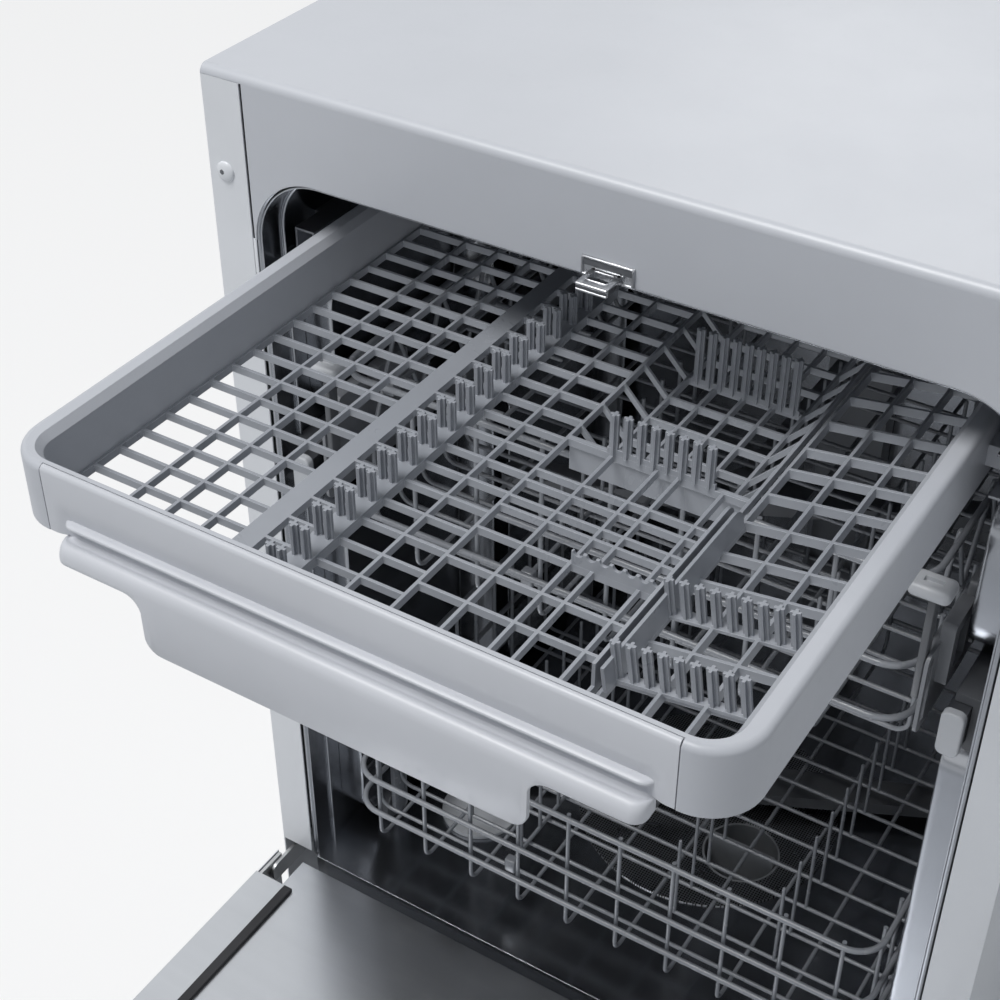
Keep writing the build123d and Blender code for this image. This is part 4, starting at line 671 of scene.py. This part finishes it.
def cover_ledge():
    """Thin lip, groove, rounded ledge and hanging skirt of the cover in one moulding."""
    reach = [
        (-1.0, 712.6), (2.6, 712.9), (4.3, 712.7), (5.3, 712.0), (5.6, 711.1), (5.2, 710.2), (4.2, 709.6),
        (2.2, 709.2), (1.0, 708.3), (0.5, 706.6), (0.6, 704.0), (1.2, 702.2), (2.6, 701.3), (4.4, 701.2),
        (6.0, 701.9), (7.6, 702.7), (9.2, 702.6), (10.8, 701.7), (12.3, 700.1), (13.4, 697.7), (14.0, 694.6),
        (14.0, 691.75), (13.6, 691.62),
        (12.8, ledge_bottom), (11.0, ledge_bottom), (11.0, 692.0), (-1.0, 692.0),
    ]

    def shaped(x, y, z):
        out = lip_root - y
        from_end = min(ledge_corner, ledge_half - abs(x))
        cut = ledge_corner - math.sqrt(ledge_corner ** 2 - (ledge_corner - from_end) ** 2)
        if out > 0:
            out = max(0.3 + 0.02 * out, out - cut)
            if z > ledge_shoulder:
                z -= ledge_droop * cut
        if z < ledge_cut and out > 0:
            z = skirt_edge(x) + (z - ledge_bottom) * skirt_stretch
        return lip_root - out, z

    ends = [ledge_half - step for step in (0, 0.4, 1.2, 2.4, 4.0, 6.0, 8.0)]
    bends = [134, 131.5, 129, 126.5, 124.5, 123, 122.2, 122, 121.95, 121.7, 121, 119.6, 117.6, 115, 112, 60]
    return strip("cover_ledge", [(lip_root - out, z) for out, z in reach], mirrored(ends + bends), shaped)


fit(joined("tray_cover_moulding", [cover_plate(), cover_ledge()]), "cutlery_tray", lit_cover_grey, "tray_cover")


# Striker and flange screws


def striker():
    """Bright frame and square eye of the striker, with their rounded edges."""
    left, right = striker_x - striker_half, striker_x + striker_half
    pieces = [block("plate", left, right, -1.0, 0, opening_top, striker_top, 0.4)]
    low, high = opening_top + striker_rounding, striker_top - striker_rounding
    left, right = left + striker_rounding, right - striker_rounding
    corners = [(left, low), (left, high), (right, high), (right, low)]
    line = [place(x, -1.2, z) for x, z in corners + corners[:1]]
    pieces.append(wires("frame", [line], striker_rounding, 0.9, 3))
    for x0, x1 in ((-tongue_half, cheek_width - tongue_half), (tongue_half - cheek_width, tongue_half)):
        pieces.append(block("cheek", striker_x + x0, striker_x + x1, tongue_front + 1.6, -0.6,
                            tongue_bottom, tongue_top, 0.5, 2))
    left, right = striker_x - tongue_half + 0.5, striker_x + tongue_half - 0.5
    pieces.append(block("bridge", left, right, eye_rear, -0.6, tongue_bottom + 0.6, tongue_top, 0.5))
    pieces.append(block("nose", left, right, tongue_front + 1.2, eye_front, tongue_bottom + 0.3,
                        tongue_top - 0.1, 0.5))
    for z, radius in ((tongue_top - 1.1, 1.1), (tongue_bottom + 0.8, 0.8)):
        line = [place(striker_x + s * (tongue_half - 0.4), tongue_front + radius, z) for s in (-1, 1)]
        pieces.append(wires("bar", [line], radius))
    left, right = striker_x - (tongue_half - cheek_width), striker_x + (tongue_half - cheek_width)
    corners = [(left, eye_front), (left, eye_rear), (right, eye_rear), (right, eye_front)]
    line = [place(x, y, tongue_top - 0.3) for x, y in corners + corners[:1]]
    pieces.append(wires("eye", [line], 0.6, 1.6, 4))
    return joined("door_striker_eye", pieces)


def striker_shade():
    """Dark pieces that paint the shade on the floor of the striker's frame and in the groove of its nose."""
    left, right = striker_x - striker_half + 1.6, striker_x + striker_half - 1.6
    floor = block("floor", left, right, -1.15, -0.5, tongue_top + 0.6, striker_top - 1.7, 0.2)
    left, right = striker_x - tongue_half + 0.6, striker_x + tongue_half - 0.6
    groove = block("groove", left, right, tongue_front + 0.55, tongue_front + 2.0, tongue_bottom + 1.7,
                   tongue_top - 2.3, 0.2)
    return joined("door_striker_shade", [floor, groove])


def screw_domes():
    """Low round heads of the two flange screws."""
    domes = []
    for side in (-1, 1):
        middle = place(side * screw_x, 0, screw_z)
        scale = Vector((screw_radius, screw_dome, screw_radius)) / 1000
        bpy.ops.mesh.primitive_uv_sphere_add(segments=40, ring_count=24, radius=1, location=middle,
                                             scale=scale)
        dome = named(bpy.context.object, "dome")
        bpy.ops.object.mode_set(mode="EDIT")
        bpy.ops.mesh.select_all(action="SELECT")
        bpy.ops.mesh.bisect(plane_co=place(0, -screw_seat, 0), plane_no=(0, 1, 0), clear_outer=True)
        bpy.ops.mesh.extrude_region_move(TRANSFORM_OT_translate={"value": (0, screw_rim / 1000, 0)})
        bpy.ops.mesh.edge_face_add()
        bpy.ops.object.mode_set(mode="OBJECT")
        domes.append(dome)
    screws = joined("flange_screw_heads", domes)
    bpy.ops.object.shade_smooth_by_angle(angle=math.radians(50))
    return screws


def screw_socket_shades():
    """Small dark discs in the screw heads, painted shade standing for their sockets."""
    sockets = []
    for side in (-1, 1):
        spot = place(side * screw_x - 1.2, -2.35, screw_z + 0.2)
        bpy.ops.mesh.primitive_cylinder_add(
            vertices=6, radius=socket_radius / 1000, depth=socket_depth / 1000, location=spot,
            rotation=(math.radians(90), 0, 0),
        )
        sockets.append(soften(named(bpy.context.object, "socket"), 0.15))
    return joined("flange_screw_socket_shades", sockets)


fit(striker(), "cabinet", satin_metal, "door_striker")
# Dark pieces painted as the shade in the striker's frame and nose groove.
fit(striker_shade(), "cabinet", nylon_dark)
fit(screw_domes(), "cabinet", enamel, "flange_screws")
# Dark discs painted as the shade in the screws' sockets.
fit(screw_socket_shades(), "cabinet", nylon_dark)


# Baskets


def ring(half, z):
    """Corners of a closed frame of wire lying flat."""
    corners = [(-half, basket_front), (half, basket_front), (half, basket_back), (-half, basket_back)]
    return [place(x, y, z) for x, y in corners + corners[:1]]


def across_places():
    """Places along the basket of its cross wires."""
    return spaced(basket_front + frame_bend + 8, basket_back - frame_bend - 8, wire_pitch)


def basket(name, half, bottom, rim, x_wires, ring_heights, side_top):
    """Bent wires of a basket: rings, cross wires and long wires that turn up at their ends."""
    stand = half - frame_wire - thin_wire
    top = side_top + frame_wire / 2
    rings = wires(name + "_rings", [ring(half, z) for z in ring_heights], frame_wire, frame_bend, 8)
    cross = []
    for y in across_places():
        cross.append([place(-stand, y, top), place(-stand, y, bottom), place(stand, y, bottom),
                      place(stand, y, top)])
    low = bottom - 2 * thin_wire
    front = basket_front + frame_wire + thin_wire
    rear = basket_back - frame_wire - thin_wire
    top = rim + frame_wire / 2
    for x in x_wires:
        cross.append([place(x, front, top), place(x, front, low), place(x, rear, low), place(x, rear, top)])
    return [rings, wires(name + "_cross", cross, thin_wire, wire_bend)]


def pins(name, rows, bottom, height):
    """Fixed tines with round tips, standing on the cross wires."""
    lines = []
    for x in rows:
        for y in across_places()[1:-1]:
            lines.append([place(x, y, bottom), place(x, y, bottom + height - tine_wire)])
    stems = wires(name, lines, tine_wire)
    tips = []
    for line in lines:
        bpy.ops.mesh.primitive_uv_sphere_add(segments=8, ring_count=4, radius=tine_wire / 1000,
                                             location=line[-1])
        tips.append(named(bpy.context.object, "tip"))
        bpy.ops.object.shade_smooth()
    return joined(name, [stems, *tips])


def tine_clips(x, bottom):
    """Clips round the first and last cross wire that carry the folding row's axle."""
    axle = bottom + 2 * thin_wire + 0.3 + tine_wire
    places = across_places()
    return [
        block("clip", x - 5, x + 5, y - 4, y + 4, bottom - 3.3, axle + 5, clip_rounding, 3)
        for y in (places[0], places[-1])
    ]


def upper_basket():
    """Upper basket: three rings, slanting side wires, tines and the cup shelf's clips."""
    half, bottom, rim, middle = 216.0, 489.0, 640.0, 568.0
    stand = half - frame_wire - thin_wire
    long_wires = spaced(60 - half, half - 60, 56)
    pieces = basket("upper", half, bottom, rim, long_wires, (bottom + 34, middle, rim), middle)
    slants = []
    places = spaced(basket_front + frame_bend + 10, basket_back - frame_bend - 10, 30)
    for side in (-1, 1):
        slants.append([
            place(side * stand, y, rim - 0.5 if i % 2 else middle + frame_wire) for i, y in enumerate(places)
        ])
    pieces.append(wires("upper_slants", slants, thin_wire, 6, 4))
    pieces.append(pins("upper_pins", (26.0, 130.0), bottom, height=58.0))
    pieces += tine_clips(-78.0, bottom)
    for y in (62.0, 418.0):
        pieces.append(block("shelf_clip", thin_wire - stand, 11.6 - stand, y - 5, y + 5, 598, 610,
                            clip_rounding, 3))
    return joined("upper_basket_wires", pieces)


def lower_basket():
    """Lower basket: three rings, tines and the wheel arms."""
    half, bottom, rim = 228.0, 172.0, 300.0
    long_wires = spaced(24 - half, half - 24, 46)
    pieces = basket("lower", half, bottom, rim, long_wires, (bottom + 30, 240.0, rim), rim)
    pieces.append(pins("lower_pins", (-150.0, 46.0, 135.0), bottom, height=86.0))
    pieces += tine_clips(-91.0, bottom)
    for y in (78.0, 410.0):
        for side in (-1, 1):
            x0, x1 = beside(side, half - frame_wire, half + 2.5)
            pieces.append(plate("arm", x0, x1, y - 9, y + 9, axle_z - 8, 199.5, along=0, corner=5, width=0.8))
            axle = [place(side * (half + out), y, axle_z) for out in (1, 14.1)]
            pieces.append(wires("axle", [axle], axle_radius))
    return joined("lower_basket_wires", pieces)


def dished(name, x0, x1, y0, y1, z0, z1, corner, border, depth):
    """Flat plate with round corners and a shallow dish in its top."""
    piece = plate(name, x0, x1, y0, y1, z0, z1, along=2, corner=corner, width=0.9)
    top = max((f for f in piece.data.polygons if f.normal.z > 0.99), key=lambda f: f.area)
    for group in (piece.data.vertices, piece.data.edges, piece.data.polygons):
        group.foreach_set("select", [False] * len(group))
    top.select = True
    pick(piece)
    bpy.ops.object.mode_set(mode="EDIT")
    bpy.ops.mesh.select_mode(type="FACE")
    bpy.ops.mesh.inset(thickness=border / 1000)
    bpy.ops.mesh.inset(thickness=0.0006, depth=-depth / 1000)
    bpy.ops.mesh.select_mode(type="VERT")
    bpy.ops.object.mode_set(mode="OBJECT")
    bpy.ops.object.shade_smooth_by_angle(angle=math.radians(40))
    return piece


def lever_plates():
    """Flat release plates on the upper basket's rim."""
    plates = []
    for side in (-1, 1):
        x0, x1 = beside(side, lever_inner, lever_outer)
        plates.append(dished("lever", x0, x1, -1.0, 19.0, lever_bottom, lever_top, corner=4.5, border=3.0,
                             depth=2.6))
    return joined("height_lever_plates", plates)


def lever_tongues():
    """Thin tongues and catch pins below the release plates."""
    parts = []
    for side in (-1, 1):
        x0, x1 = beside(side, catch_inner, catch_outer)
        parts.append(block("tongue", x0, x1, 7, 17, catch_bottom, lever_bottom + 0.6, 0.8))
        x0, x1 = beside(side, catch_outer - 0.4, catch_outer + 3)
        parts.append(block("nib", x0, x1, 11, 17, 580.1, 585.9, 0.5))
    return joined("height_lever_tongues", parts)


fit(lever_plates(), "upper_basket", nylon_light, "height_levers")
fit(lever_tongues(), "upper_basket", nylon_dark)
fit(upper_basket(), "upper_basket", coated_wire, "upper_basket")
fit(lower_basket(), "lower_basket", coated_wire, "lower_basket")


# Surroundings


def make_floor():
    """Pale studio floor that keeps the machine's shadow."""
    bpy.ops.mesh.primitive_plane_add(size=40)
    floor = named(bpy.context.object, "studio_floor")
    material = bpy.data.materials.new("studio floor")
    material.use_nodes = True
    tree = material.node_tree
    shader = tree.nodes["Principled BSDF"]
    shader.inputs["Roughness"].default_value = 0.9
    noise = add(tree, "TexNoise", {"Scale": 3.0})
    tone = add(tree, "Mix", data_type="RGBA")
    tone.inputs["A"].default_value = (0.80, 0.805, 0.81, 1)
    tone.inputs["B"].default_value = (0.84, 0.84, 0.845, 1)
    path = add(tree, "LightPath")
    share = add(tree, "Math", operation="MULTIPLY")
    share.inputs[1].default_value = floor_white
    white = add(tree, "Emission", {"Strength": 1.0})
    seen = add(tree, "MixShader")
    link = tree.links.new
    link(noise.outputs["Fac"], tone.inputs["Factor"])
    link(tone.outputs["Result"], shader.inputs["Base Color"])
    link(path.outputs["Is Camera Ray"], share.inputs[0])
    link(share.outputs["Value"], seen.inputs["Fac"])
    link(shader.outputs["BSDF"], seen.inputs[1])
    link(white.outputs["Emission"], seen.inputs[2])
    link(seen.outputs["Shader"], tree.nodes["Material Output"].inputs["Surface"])
    dress(floor, material)


def make_world():
    """Even pale surroundings, white where they are seen or mirrored."""
    world = bpy.data.worlds.new("studio")
    scene.world = world
    world.use_nodes = True
    tree = world.node_tree
    back = tree.nodes["Background"]
    tint = add(tree, "Mix", data_type="RGBA")
    tint.inputs["A"].default_value = (0.84, 0.91, 1.0, 1)
    tint.inputs["B"].default_value = (0.97, 0.985, 1.0, 1)
    path = add(tree, "LightPath")
    seen = add(tree, "Math", operation="MAXIMUM")
    clear = add(tree, "Math", operation="MAXIMUM")
    level = add(tree, "MapRange", {"To Min": sky_light, "To Max": sky_seen})
    link = tree.links.new
    link(path.outputs["Is Camera Ray"], seen.inputs[0])
    link(path.outputs["Is Glossy Ray"], seen.inputs[1])
    link(seen.outputs["Value"], clear.inputs[0])
    link(path.outputs["Is Transmission Ray"], clear.inputs[1])
    link(clear.outputs["Value"], level.inputs["Value"])
    link(clear.outputs["Value"], tint.inputs["Factor"])
    link(tint.outputs["Result"], back.inputs["Color"])
    link(level.outputs["Result"], back.inputs["Strength"])


def lamp(name, spot, aim, size, power):
    """Large soft lamp that faces a point."""
    bpy.ops.object.light_add(type="AREA", location=spot)
    light = bpy.context.object
    light.name = name
    light.data.shape = "DISK"
    light.data.size = size
    light.data.energy = power
    light.rotation_euler = (Vector(aim) - Vector(spot)).to_track_quat("-Z", "Y").to_euler()


make_floor()
make_world()
lamp("main lamp", (-1.3, -1.8, 5.2), aim=(0, 0, 0.7), size=2.6, power=205)
lamp("side lamp", (3.2, -2.2, 1.9), aim=(0, 0, 0.6), size=2.0, power=5)
lamp("rear lamp", (-0.8, 3.4, 3.0), aim=(0, 0.3, 0.6), size=2.0, power=18)

bpy.ops.object.camera_add(
    location=(0.4229, -0.6851, 1.3052), rotation=[math.radians(a) for a in (52.61, 0, 32.25)]
)
camera = bpy.context.object
camera.data.lens = 63.15
camera.data.sensor_width = 36
camera.data.clip_start = 0.02
scene.camera = camera
scene.view_settings.view_transform = "Standard"
